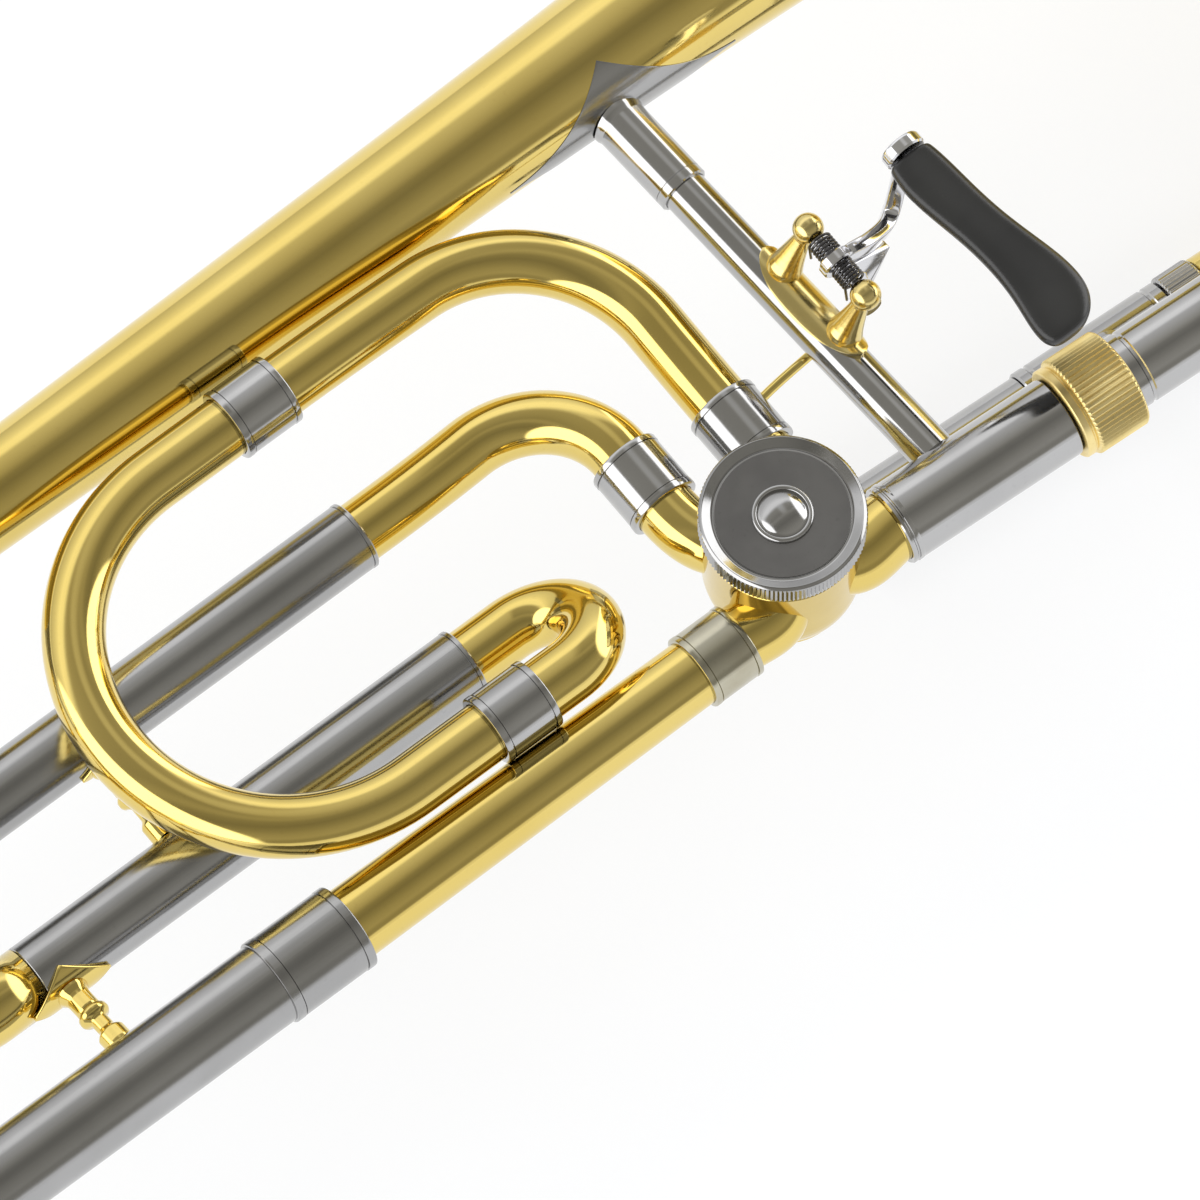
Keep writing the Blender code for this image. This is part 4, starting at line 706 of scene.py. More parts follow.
def makeCap():
    form = valveForm
    at = (valveX, valveY, form["half"] + gap)
    top, radius, recess, slope = form["capHeight"], form["cap"], form["recess"], form["slope"]
    floor = top - form["recessDepth"]
    stations = [
        (0.0, 0.0), (0.0, radius - 0.0004), (0.0003, radius), (top - 0.0009, radius), (top - 0.0005, radius - 0.0002),
        (top - 0.0001, radius - 0.0006), (top, radius - 0.0008), (top, recess + slope + 0.0001),
        (top - 0.00004, recess + slope), (floor + 0.0001, recess + 0.0001), (floor + 0.00004, recess),
        (floor, recess - 0.0002), (floor - 0.0002, recess - 0.0003), (floor - 0.0002, recess - 0.0006),
        (floor, recess - 0.0007), (floor, 0.0),
    ]
    shape = lathe(stations, at, zAxis, form["teeth"] * 4)
    ribbed(shape, at, zAxis, form["teeth"], form["knurl"], 0.0002, top - 0.0005, radius - 0.00025)
    settle("valveCap", shape, "capNickel", bell, node="rotor_cap", sharp=20)
    edge = recess - 0.0008
    stations = [(floor, edge)]
    for step in range(25):  # slightly dished, with faint turning rings
        reach = edge * (1 - step / 24)
        height = 0.00006 + 0.00014 * (reach / edge) ** 2 + 0.000004 * math.cos(reach * 2100)
        stations.append((floor + height, reach))
    turned("capFace", "darkNickel", bell, stations + [(floor, 0.0)], at, zAxis, 128)
    boss, dome = form["boss"], form["dome"]
    stations = [(0.0, 0.0), (0.0, boss)]
    for step in range(12):  # the round shoulder
        angle = math.radians(15 * step)
        stations.append((0.00025 + 0.00065 * math.sin(angle), boss - 0.00065 + 0.00065 * math.cos(angle)))
    edge = boss - 0.0014
    seat = math.sqrt(dome**2 - edge**2)
    for step in range(13):
        reach = edge * (1 - step / 12)
        stations.append((0.00045 + math.sqrt(dome**2 - reach**2) - seat, reach))
    stations = [(floor + height, reach) for height, reach in stations]
    turned("capBoss", "polishedNickel", bell, stations, at, zAxis, 96, sharp=60)


# where each knuckle leaves the casing, where its tube begins and which way that goes, its seat and radius
knuckles = {
    "knuckleMain": (-135, (-0.018, layout["mainY"], 0), -xAxis, 0.0059, 0.0071),
    "knuckleSlide": (-45, (layout["receiverX"], layout["receiverY"], 0), slideHeading, 0.0015, 0.0075),
    "knuckleOut": (45, (0.0105, 0.020, 0), yAxis, 0.00675, 0.0065),
    "knuckleBack": (135, (-0.012, 0.0229, 0), yAxis, 0.00675, 0.0065),
}


def makeCasing():
    form = valveForm
    centre = Vector((valveX, valveY, 0))
    half, radius, bore = form["half"], form["casing"], form["bore"]
    stations = [(-half, form["foot"] - 0.0006), (-half, form["foot"])]
    for step in range(9):  # the lower end is drawn in
        angle = math.pi / 2 * step / 8
        width = form["foot"] + (radius - form["foot"]) * math.sin(angle)
        stations.append((-half + 0.0006 + form["drawn"] * (1 - math.cos(angle)), width))
    stations += [
        *groove(half - 0.0016, radius, 0.0002, 0.0002, 0.0006), (half - 0.0004, radius), (half, radius - 0.0004),
        (half, bore), (-form["well"], bore), (-form["well"] - 0.0004, form["foot"] - 0.0006),
    ]
    turned("valveCasing", "casingBrass", bell, stations, centre, zAxis, 128, True, node="rotor_casing")
    for name, (degrees, mouth, leaving, seat, tube) in knuckles.items():
        angle = math.radians(degrees)
        radial = Vector((math.cos(angle), math.sin(angle), 0))
        start = centre + radial * (radius - form["knuckleDepth"])
        mouth = Vector(mouth)
        pull = (mouth - start).length * 0.95
        points = eased(start, radial, mouth, leaving, pull, 18) + [mouth + leaving * seat]
        settle(name, sweep(points, tube, 48), "lacqueredBrass", bell, wallThickness=wall * 1.2)
    at = centre - zAxis * (half + gap + form["plate"])
    rim, plate, hole = form["waist"], form["plate"], form["plateBore"]
    stations = [
        (0, hole), (0, rim - 0.0005), (0.0005, rim), (plate - 0.0003, rim), (plate, rim - 0.0003), (plate, hole),
    ]
    turned("stopPlate", "lacqueredBrass", bell, stations, at, zAxis, 96, True)


stopForm = {"arm": 0.010, "lug": 0.009, "halfWidth": 0.0025, "thickness": 0.0025, "hub": 0.0050, "cork": 0.0024,
            "corkHeight": 0.0037}


def makeStops():
    form = stopForm
    armZ = -(valveForm["half"] + valveForm["plate"] + 3 * gap + form["thickness"] / 2)
    centre = Vector((valveX, valveY, armZ))
    length, width = form["arm"] + form["lug"] + 2 * form["halfWidth"], 2 * form["halfWidth"]
    shape = bmesh.new()
    bmesh.ops.create_cube(shape, size=1.0)
    bmesh.ops.scale(shape, verts=shape.verts, vec=(length, width, form["thickness"]))
    corners = [edge for edge in shape.edges if abs(edge.verts[0].co.z - edge.verts[1].co.z) > form["thickness"] / 2]
    rounded(shape, corners, form["halfWidth"] * 0.98, 8)
    rounded(shape, shape.edges[:], 0.0002)
    bmesh.ops.translate(shape, verts=shape.verts, vec=((form["arm"] - form["lug"]) / 2, 0, 0))
    turn = Matrix.Translation(centre) @ Matrix.Rotation(math.pi / 4, 4, "Z")
    bmesh.ops.transform(shape, matrix=turn, verts=shape.verts)
    settle("stopArm", shape, "lacqueredBrass", "rotor")
    half, hub = form["thickness"] / 2, form["hub"]
    stations = [(-half, 0.0), (-half, hub - 0.0004), (-half + 0.0004, hub), (half, hub), (half, 0.0)]
    turned("stopArmHub", "lacqueredBrass", "rotor", stations, centre, zAxis, 64)
    screw = [(-half - 0.0013, 0.0), (-half - 0.0013, 0.0022), (-half - 0.0009, 0.0030), (-half, 0.0030), (-half, 0.0)]
    turned("stopArmScrew", "turnedSteel", "rotor", screw, centre, zAxis, 48)
    swing = math.asin((form["halfWidth"] + form["cork"] + gap) / form["lug"])
    top = -(valveForm["half"] + valveForm["plate"] + 2 * gap)
    for name, angle in (
        ("stopCorkOpen", math.radians(225) - swing), ("stopCorkClosed", math.radians(315) + swing)
    ):
        at = (valveX + form["lug"] * math.cos(angle), valveY + form["lug"] * math.sin(angle), top)
        height, radius = form["corkHeight"], form["cork"]
        stations = [
            (0, 0.0), (0, radius), (height * 0.82, radius), (height * 0.94, radius * 0.9), (height, radius * 0.72),
            (height, 0.0),
        ]
        turned(name, "stopRubber", bell, stations, at, -zAxis, 40)


# ferrules and straight tubes
def ferruleStations(length, radius, bore, bead=0.00025, share=0.1):
    # a sleeve over a joint: a fine groove sets a band off at each end
    band, high, low = length * share, radius + bead * 0.45, radius - bead
    lines = [(0, high - 0.0003), (0.0001, high - 0.0001), (0.0003, high), (band, high), (band + 0.0001, low)]
    lines += [(band + 0.0003, low), (band + 0.0004, radius)]
    mirrored = [(length - distance, width) for distance, width in lines[::-1]]
    return [(0, bore)] + lines + mirrored + [(length, bore)]


mainForm = {
    "frontX": -0.018, "tube": 0.00715, "rear": 0.0079, "ferruleLength": 0.0118, "ferrule": 0.0081,
    "sleeveFerruleX": -0.117, "sleeveFerruleLength": 0.020, "sleeveFerrule": 0.0094, "sleeve": 0.0089,
    "sleeveWall": 0.0006, "sleeveEndX": -0.215, "legLength": 0.072, "seat": 0.010, "collar": 0.016,
    "tail": 0.0103,
}
loopForm = {
    "radius": 0.0065, "ferrule": 0.0077, "ferruleLength": 0.0135, "outX": 0.0105, "outY": 0.020,
    "bendY": 0.055, "bendRadius": 0.0335, "z": 0.0078, "ferruleX": -0.065, "loopX": -0.0900,
    "loopRadius": 0.0418, "ubendX": -0.0512, "upperY": 0.059, "lowerY": 0.024, "legZ": -0.007,
    "leg": 0.00745, "legFrontX": -0.062, "legLength": 0.110, "overlap": 0.008, "innerLeg": 0.085,
    "inX": -0.012, "inY": 0.0229, "inBend": 0.0215,
}
loopTopY = loopForm["bendY"] + loopForm["bendRadius"]
loopLowY = loopTopY - 2 * loopForm["loopRadius"]


def makeFerrules():
    form, loop = mainForm, loopForm
    half = loop["ferruleLength"] / 2
    backX = loop["ferruleX"] + half
    rows = [
        ("mainFerrule", (form["frontX"], layout["mainY"], 0), -xAxis, form["ferruleLength"],
         form["ferrule"], form["tube"], "warmNickel"),
        ("sleeveFerrule", (form["sleeveFerruleX"], layout["mainY"], 0), -xAxis,
         form["sleeveFerruleLength"], form["sleeveFerrule"], form["rear"], "satinNickel"),
        ("outFerrule", (loop["outX"], loop["outY"], 0), yAxis, loop["ferruleLength"],
         loop["ferrule"], loop["radius"], "polishedNickel"),
        ("loopFerruleUpper", (backX, loopTopY, loop["z"]), -xAxis, loop["ferruleLength"],
         loop["ferrule"], loop["radius"], "polishedNickel"),
        ("loopFerruleLower", (backX, loopLowY, loop["z"]), -xAxis, loop["ferruleLength"],
         loop["ferrule"], loop["radius"], "polishedNickel"),
        ("returnFerrule", (loop["inX"], loop["inY"], 0), yAxis, loop["ferruleLength"],
         loop["ferrule"], loop["radius"], "polishedNickel"),
    ]
    for name, at, along, length, radius, bore, look in rows:
        turned(name, look, bell, ferruleStations(length, radius, bore + 0.0001), at, along, 80, True)


def makeStraightTubes():
    form, loop = mainForm, loopForm
    start = form["ferruleLength"] / 2 + gap
    length = form["frontX"] - form["sleeveFerruleX"] + form["sleeveFerruleLength"] / 2
    stations = [
        (start, form["tube"] - wall), (start, form["tube"]), (length, form["rear"]), (length, form["rear"] - wall)
    ]
    turned("mainTube", "lacqueredBrass", bell, stations, (form["frontX"], layout["mainY"], 0), -xAxis, 96, True)
    start = form["sleeveFerruleX"] - form["sleeveFerruleLength"] + gap
    stations = sleeveStations(start - form["sleeveEndX"], form["sleeve"], form["sleeve"] - form["sleeveWall"])
    turned("mainSleeve", "satinNickel", bell, stations, (start, layout["mainY"], 0), -xAxis, 96, True)
    start = bellForm["tailX"] - gap
    length, collar, tail, sleeve = start - form["sleeveEndX"], form["collar"], form["tail"], form["sleeve"]
    bore = sleeve - form["sleeveWall"]
    stations = [
        (0, bore), (0, tail - 0.0003), (0.0003, tail), (0.0016, tail), (0.0018, tail * 0.97),
        (collar - 0.0004, tail * 0.955), (collar, tail * 0.93), (collar, sleeve), (length - 0.0002, sleeve),
        (length, sleeve - 0.0002), (length, bore),
    ]
    turned("bellTailSleeve", "satinNickel", bell, stations, (start, layout["bellY"], 0), -xAxis, 96, True)
    radius, bore, length = loop["leg"], loop["leg"] - form["sleeveWall"], loop["legLength"]
    rim = radius + 0.00012
    stations = [
        (0, bore), (0, rim - 0.0003), (0.0003, rim), (0.0010, rim), (0.0011, radius - 0.0002),
        (0.0013, radius - 0.0002), (0.0014, radius), (length - 0.0002, radius),
        (length, radius - 0.0002), (length, bore),
    ]
    for name, y in (("loopSleeveUpper", loop["upperY"]), ("loopSleeveLower", loop["lowerY"])):
        turned(name, "satinNickel", bell, stations, (loop["legFrontX"], y, loop["legZ"]), -xAxis, 80, True)


def makeTuningLegs():
    form, loop = mainForm, loopForm
    mainEnd, loopEnd = form["sleeveEndX"] - gap, loop["legFrontX"] - loop["legLength"] - gap
    for name, body, end, y, z, sleeve, length in (
        ("mainLegLower", "main_slide", mainEnd, layout["mainY"], 0, form["sleeve"], form["legLength"]),
        ("mainLegUpper", "main_slide", mainEnd, layout["bellY"], 0, form["sleeve"], form["legLength"]),
        ("loopLegUpper", "loop_slide", loopEnd, loop["upperY"], loop["legZ"], loop["leg"], loop["innerLeg"]),
        ("loopLegLower", "loop_slide", loopEnd, loop["lowerY"], loop["legZ"], loop["leg"], loop["innerLeg"]),
    ):
        reach = (sleeve - form["sleeveWall"]) * flat - gap
        stations = sleeveStations(form["seat"] + length, reach, reach - wall, 0.0002)
        turned(name, "polishedNickel", body, stations, (end - form["seat"] + gap, y, z), xAxis, 72, True)


# bent tubes
def bentTube(name, points, radius, body=bell, thickness=wall):
    shape = sweep(points, radius, 56)
    settle(name, shape, "lacqueredBrass", body, wallThickness=thickness)


def makeBends():
    form, loop = mainForm, loopForm
    length, half, radius = loop["ferruleLength"], loop["ferruleLength"] / 2, loop["radius"]
    out = Route((loop["outX"], loop["outY"] + half + gap, 0), yAxis).ahead(half)
    out.ahead(loop["bendY"] - loop["outY"] - length - gap, 6).bend(loop["bendRadius"], 90, -xAxis, 28)
    out.ahead(loop["outX"] - loop["bendRadius"] - loop["ferruleX"] - gap - half, 10).ahead(half)
    bentTube("loopOutTube", out.climbing(loop["z"], half), radius)
    straight = loop["ferruleX"] - gap - loop["loopX"]
    rear = Route((loop["ferruleX"] - gap, loopTopY, loop["z"]), -xAxis).ahead(straight, 3)
    rear.bend(loop["loopRadius"], 180, -yAxis, 64).ahead(straight, 3)
    bentTube("rearLoop", rear.points, radius)
    across = Vector((0, loop["lowerY"] - loopLowY, loop["legZ"] - loop["z"]))
    turn = Route((loop["ferruleX"] + gap, loopLowY, loop["z"]), xAxis)
    turn.ahead(loop["ubendX"] - loop["ferruleX"] - gap, 2)
    turn.bend(across.length / 2, 180, across, 40).ahead(loop["ubendX"] - loop["legFrontX"] + loop["overlap"], 3)
    bentTube("frontUbend", turn.points, radius)
    back = Route((loop["legFrontX"] - loop["overlap"], loop["upperY"], loop["legZ"]), xAxis).ahead(loop["overlap"])
    back.ahead(loop["inX"] - loop["inBend"] - loop["legFrontX"], 14).bend(loop["inBend"], 90, -yAxis, 24)
    back.ahead(loop["upperY"] - loop["inBend"] - loop["inY"] - length - gap, 4).ahead(half)
    bentTube("loopReturnTube", back.climbing(-loop["legZ"], loop["overlap"], 1.5), radius)
    end = form["sleeveEndX"] - gap
    crook = Route((end, layout["mainY"], 0), -xAxis).ahead(form["seat"])
    crook.bend((layout["bellY"] - layout["mainY"]) / 2, 180, yAxis, 72).ahead(form["seat"])
    bentTube("mainCrook", crook.points, form["sleeve"], "main_slide", form["sleeveWall"])
    end = loop["legFrontX"] - loop["legLength"] - gap
    crook = Route((end, loop["lowerY"], loop["legZ"]), -xAxis).ahead(form["seat"])
    crook.bend((loop["upperY"] - loop["lowerY"]) / 2, 180, yAxis, 48).ahead(form["seat"])
    bentTube("loopCrook", crook.points, loop["leg"], "loop_slide", form["sleeveWall"])


# stays
stayForm = {
    "collar": 0.0027, "bead": 0.0034, "neck": 0.0019, "foot": 0.0031, "flange": 0.0190, "spread": math.radians(54),
    "thickness": 0.0008, "lowerX": -0.1675, "middleX": -0.1318, "upperX": -0.160,
}


def makeStay(name, start, end, startRadius, endRadius, flange=1.0):
    form = stayForm
    start, end = Vector(start), Vector(end)
    along, span = (end - start).normalized(), (end - start).length
    first, last = startRadius + 0.0005, span - endRadius + 0.0003
    reach = last - first
    collar, bead, neck, foot = form["collar"], form["bead"], form["neck"], form["foot"]
    shares = [
        (0.0, 0.0), (0.0, collar * 1.35), (0.04, collar * 1.30), (0.09, collar * 1.06), (0.14, collar),
        (0.34, collar), (0.36, collar * 0.93), (0.38, bead * 0.88), (0.41, bead), (0.46, bead), (0.49, bead * 0.90),
        (0.51, neck * 1.25), (0.54, neck), (0.70, neck), (0.73, neck * 1.15), (0.76, foot * 0.88), (0.79, foot),
        (0.97, foot), (1.0, foot * 0.97), (1.0, 0.0),
    ]
    stations = [(first + share * reach, radius) for share, radius in shares]
    turned(name, "lacqueredBrass", bell, stations, start, along, 64, sharp=50)
    shape = wrappedPlate(
        start, xAxis, along, form["flange"] * flange, form["spread"] * flange, lambda distance: startRadius + 0.00008,
        diamond(0.03), (28, 16),
    )
    plated(settle(name + "Foot", shape, "lacqueredBrass", bell), form["thickness"])


def makeStays():
    leg, sleeve = loopForm["leg"], mainForm["sleeve"]
    lowerX, middleX, upperX = stayForm["lowerX"], stayForm["middleX"], stayForm["upperX"]
    lower, upper = (loopForm["lowerY"], loopForm["legZ"]), (loopForm["upperY"], loopForm["legZ"])
    makeStay("lowerStay", (lowerX, *lower), (lowerX, layout["mainY"], 0), leg, sleeve)
    makeStay("middleStay", (middleX, *upper), (middleX, *lower), leg, leg, 0.62)
    makeStay("upperStay", (upperX, *upper), (upperX, layout["bellY"], 0), leg, sleeve)


# thumb lever
leverForm = {
    "x": 0.0436, "y": 0.03815, "z": 0.0165, "spacing": 0.0184, "ball": 0.0032, "foot": 0.0037, "neck": 0.0018,
    "rod": 0.0012, "hub": 0.0038, "hubLength": 0.0024, "saddleLength": 0.0300, "saddleSpread": math.radians(62),
    "saddleThickness": 0.0011, "saddleEdge": 0.00025,
    "coil": 0.0024, "wire": 0.00030, "pitch": 0.00078, "turns": 5, "collar": 0.0046, "collarLength": 0.0029,
    "paddleX": 0.0653, "paddleY": 0.0427, "paddleZ": 0.0300, "paddleLength": 0.0505, "pivotX": 0.0500,
    "pivotZ": -0.0100, "eye": 0.0024, "eyeThickness": 0.0020,
    "neckKnots": [
        (0.0445, 0.03815, 0.0164), (0.0470, 0.03815, 0.0164), (0.0515, 0.0383, 0.0143), (0.0570, 0.0400, 0.0106),
        (0.0606, 0.0420, 0.0107), (0.0630, 0.0434, 0.0145), (0.0645, 0.0442, 0.0200), (0.0652, 0.0444, 0.0268),
    ],
    "neckWidths": [1.8, 2.0, 2.2, 2.3, 2.4, 2.4, 2.3, 2.2],
    # the arm is a flat plate: its outline in the hinge's plane
    "armOutline": [
        (0.0425, 0.0135), (0.0448, 0.0132), (0.0469, 0.0114), (0.0563, 0.0072), (0.0566, 0.0062), (0.0527, -0.0050),
        (0.0522, -0.0090), (0.0515, -0.0113), (0.0500, -0.0122), (0.0485, -0.0114), (0.0480, -0.0095),
        (0.0485, -0.0075), (0.0503, -0.0045), (0.0508, -0.0012), (0.0503, 0.0022), (0.0489, 0.0049), (0.0460, 0.0068),
        (0.0434, 0.0112),
    ],
    "armThickness": 0.0018, "armEdge": 0.00022,
}
hinge = Vector((leverForm["x"], leverForm["y"], leverForm["z"]))


def makeSaddle():
    form = leverForm
    middle = braceStart + braceAlong * ((form["y"] - braceStart.y) / braceAlong.y)
    lean = Vector((form["x"] - middle.x, 0, form["z"])).normalized()
    shape = wrappedPlate(
        middle, braceAlong, lean, form["saddleLength"], form["saddleSpread"],
        lambda distance: braceForm["radius"] + 0.00008, boat(0.04), (40, 18),
    )
    saddle = settle("leverSaddle", shape, "castBrass", bell)
    plated(saddle, form["saddleThickness"], form["saddleEdge"])
    for name, side in (("nearPost", -1), ("farPost", 1)):
        ball = hinge + yAxis * side * form["spacing"] / 2
        foot = braceStart + braceAlong * ((ball.y - braceStart.y) / braceAlong.y)
        rise, axis = (ball - foot).length, (ball - foot).normalized()
        low, radius = braceForm["radius"] + 0.0006, form["ball"]
        stations = [(low, 0.0), (low, form["foot"]), (low + 0.0012, form["foot"])]
        neckEnd = rise - radius * 0.93
        for step in range(1, 7):
            share = step / 6
            width = form["foot"] + (form["neck"] - form["foot"]) * (share ** 0.8)
            stations.append((low + 0.0012 + (neckEnd - low - 0.0012) * share, width))
        for degrees in range(-50, 90, 10):
            angle = math.radians(degrees)
            stations.append((rise + radius * math.sin(angle), radius * math.cos(angle)))
        stations.append((rise + radius, 0.0))
        turned(name, "castBrass", bell, stations, foot, axis, 48, sharp=40)
    reach = form["spacing"] / 2 + form["ball"] * 0.9
    stations = [(-reach, 0.0), (-reach, form["rod"]), (reach, form["rod"]), (reach, 0.0)]
    turned("hingeRod", "turnedSteel", bell, stations, hinge, yAxis, 32)


def makeSprings():
    form = leverForm
    length = (form["turns"] + 0.5) * form["pitch"]
    middle = (form["hubLength"] / 2 + form["spacing"] / 2 - form["ball"]) / 2
    for name, side in (("springNear", -1), ("springFar", 1)):
        points = []
        for index in range(form["turns"] * 24 + 13):
            angle = 2 * math.pi * index / 24
            travel = middle + form["pitch"] * index / 24 - length / 2
            points.append(Vector((form["coil"] * math.cos(angle), side * travel, form["coil"] * math.sin(angle))))
        for _ in range(3):  # the leg that rests on the saddle
            points.append(points[-1] + Vector((0.00015, 0.0, -0.0020)))
        points = [hinge + point for point in points]
        shape = sweep(points, form["wire"], 12, capped=True)
        settle(name, shape, "bluedWire", bell, sharp=60)


def makeEye(name, look, body, at, along):
    half = leverForm["eyeThickness"] / 2
    turned(name, look, body, ringStations(-half, half, leverForm["eye"]), at, along, 40)


def makeLever():
    form = leverForm
    half, hub = form["hubLength"] / 2, form["hub"]
    stations = ringStations(-half, half, hub, form["rod"] + 0.0002)
    turned("leverHub", "leverChrome", "lever", stations, hinge, yAxis, 48, True, node="thumb_lever")
    points, tapers = smoothLine([Vector(knot) for knot in form["neckKnots"]], form["neckWidths"], 8)
    shape = sweep(points, 0.001, 32, tapers, True, 0.72, yAxis, squared=True)
    settle("leverNeck", shape, "leverChrome", "lever", sharp=50)
    shape = bmesh.new()
    half = form["armThickness"] / 2
    face = shape.faces.new([shape.verts.new((x, form["y"] - half, z)) for x, z in form["armOutline"]])
    made = bmesh.ops.extrude_face_region(shape, geom=[face])["geom"]
    raised = [item for item in made if isinstance(item, bmesh.types.BMVert)]
    bmesh.ops.translate(shape, verts=raised, vec=(0, form["armThickness"], 0))
    rounded(shape, shape.edges[:], form["armEdge"])
    settle("leverArm", shape, "leverChrome", "lever")
    at = (form["paddleX"], form["paddleY"] + gap, form["paddleZ"])
    radius, length = form["collar"], form["collarLength"]
    stations = [
        (0, 0.0), (0, radius - 0.0004), (0.0004, radius), (length - 0.0006, radius),
        (length - 0.0002, radius - 0.0002), (length, radius - 0.0006), (length, 0.0),
    ]
    turned("leverCollar", "leverChrome", "lever", stations, at, yAxis, 64)
    pivot = Vector((form["pivotX"], form["y"], form["pivotZ"]))
    makeEye("leverEye", "leverChrome", "lever", pivot, yAxis)


paddleForm = {
    # share of the length, sideways shift and half width in metres
    "rows": [
        (0.000, -0.0003, 0.0046), (0.012, -0.0003, 0.0052), (0.12, -0.0003, 0.0059), (0.27, 0.0005, 0.0056),
        (0.43, 0.0018, 0.0053), (0.60, 0.0031, 0.0060), (0.74, 0.0036, 0.0070), (0.86, 0.0030, 0.0076),
        (0.94, 0.0020, 0.0067), (0.985, 0.0012, 0.0047), (1.0, 0.0009, 0.0022),
    ],
    "halfThickness": 0.0028, "fullWidth": 0.0052,
}


def fullness(halfWidth):
    # the paddle thins where it is narrow
    return min(1.0, halfWidth / paddleForm["fullWidth"]) ** 0.6


def makePaddle():
    form = leverForm
    shape = bmesh.new()
    rows = paddleForm["rows"]
    thick = paddleForm["halfThickness"]
    ring = bmesh.ops.create_circle(shape, cap_ends=True, segments=16, radius=1.0)["verts"]
    bmesh.ops.rotate(shape, verts=ring, cent=(0, 0, 0), matrix=Matrix.Rotation(math.pi / 2, 3, "X"))
    for corner in ring:  # a softly squared section
        corner.co.x, corner.co.z = fuller(corner.co.x, 0.75), fuller(corner.co.z, 0.70)
    bmesh.ops.scale(shape, verts=ring, vec=(rows[0][2], 1.0, thick * 0.9))
    edges = shape.edges[:]
    for before, after in zip(rows, rows[1:]):
        ring, edges = grown(shape, edges)
        middle = Vector((before[1], -before[0] * form["paddleLength"], 0))
        moved = Vector((after[1] - before[1], -(after[0] - before[0]) * form["paddleLength"], 0))
        thickness = fullness(after[2]) / fullness(before[2])
        bmesh.ops.scale(
            shape, verts=ring, vec=(after[2] / before[2], 1.0, thickness), space=Matrix.Translation(-middle)
        )
        bmesh.ops.translate(shape, verts=ring, vec=moved)
    bmesh.ops.holes_fill(shape, edges=edges, sides=0)
    place = bellPlace @ Matrix.Translation((form["paddleX"], form["paddleY"], form["paddleZ"]))
    paddle = settle("thumbPaddle", shape, "paddleBlack", "lever", place=place, sharp=180)
    smooth = paddle.modifiers.new("round", "SUBSURF")
    smooth.levels = 3
    smooth.render_levels = 3


linkForm = {
    "radius": 0.0010, "arm": 0.0016, "bendX": 0.044, "bendZ": -0.0110,
    "knots": [(0.024, 0.0347, -0.0148), (0.0175, 0.0330, -0.0168), (0.0135, 0.0270, -0.0198)],
    "endKnots": [(0.0035, 0.010, 0), (0.0012, 0.0035, 0)],
}


def makeLink():
    form = leverForm
    pivotY = form["y"] - linkForm["arm"] - gap - form["eyeThickness"] / 2
    pivot = Vector((form["pivotX"], pivotY, form["pivotZ"]))
    armLow = -(valveForm["half"] + valveForm["plate"] + 3 * gap + stopForm["thickness"])
    eyeZ = armLow - 2 * gap - form["eyeThickness"] / 2
    tip = math.cos(math.pi / 4) * stopForm["arm"]
    far = Vector((valveX + tip, valveY + tip, eyeZ))
    bend = Vector((linkForm["bendX"], pivot.y, linkForm["bendZ"]))
    knots = [pivot, bend] + [Vector(knot) for knot in linkForm["knots"]]
    knots += [far + Vector(knot) for knot in linkForm["endKnots"]] + [far]
    points = smoothLine(knots, [1.0] * len(knots), 6)[0]
    settle("linkRod", sweep(points, linkForm["radius"], 24, capped=True), "lacqueredBrass", "link")
    makeEye("linkFarEye", "lacqueredBrass", "link", far, zAxis)
    makeEye("linkNearEye", "lacqueredBrass", "link", pivot, yAxis)


# handslide
slideForm = {
    "shankStart": 0.009, "shankTip": 0.0064, "shank": 0.0071, "barrelLength": 0.035, "barrel": 0.0081,
    "inner": 0.545, "outerRadius": 0.0071, "outerLength": 0.520, "grip": 0.062, "gripRadius": 0.0080,
    "contact": 0.0085, "lockRing": 0.0080, "ferrule": 0.018, "brace": 0.0036, "mouthLength": 0.046,
    "mouthBore": 0.0056, "mouthBoreEnd": 0.0050, "mouthDepth": 0.030, "bumper": 0.0052, "bumperLength": 0.009,
    "bowSeat": 0.010,
}
barrelStart = receiverForm["length"] + nutForm["length"] + 2 * gap
barrelEnd = barrelStart + slideForm["barrelLength"]
outerStart = barrelEnd + slideForm["lockRing"] + 2 * gap
outerEnd = outerStart + slideForm["outerLength"]
mouthLine = slideSide * layout["slideSpacing"]
innerRadius = (slideForm["outerRadius"] - wall) * flat - gap


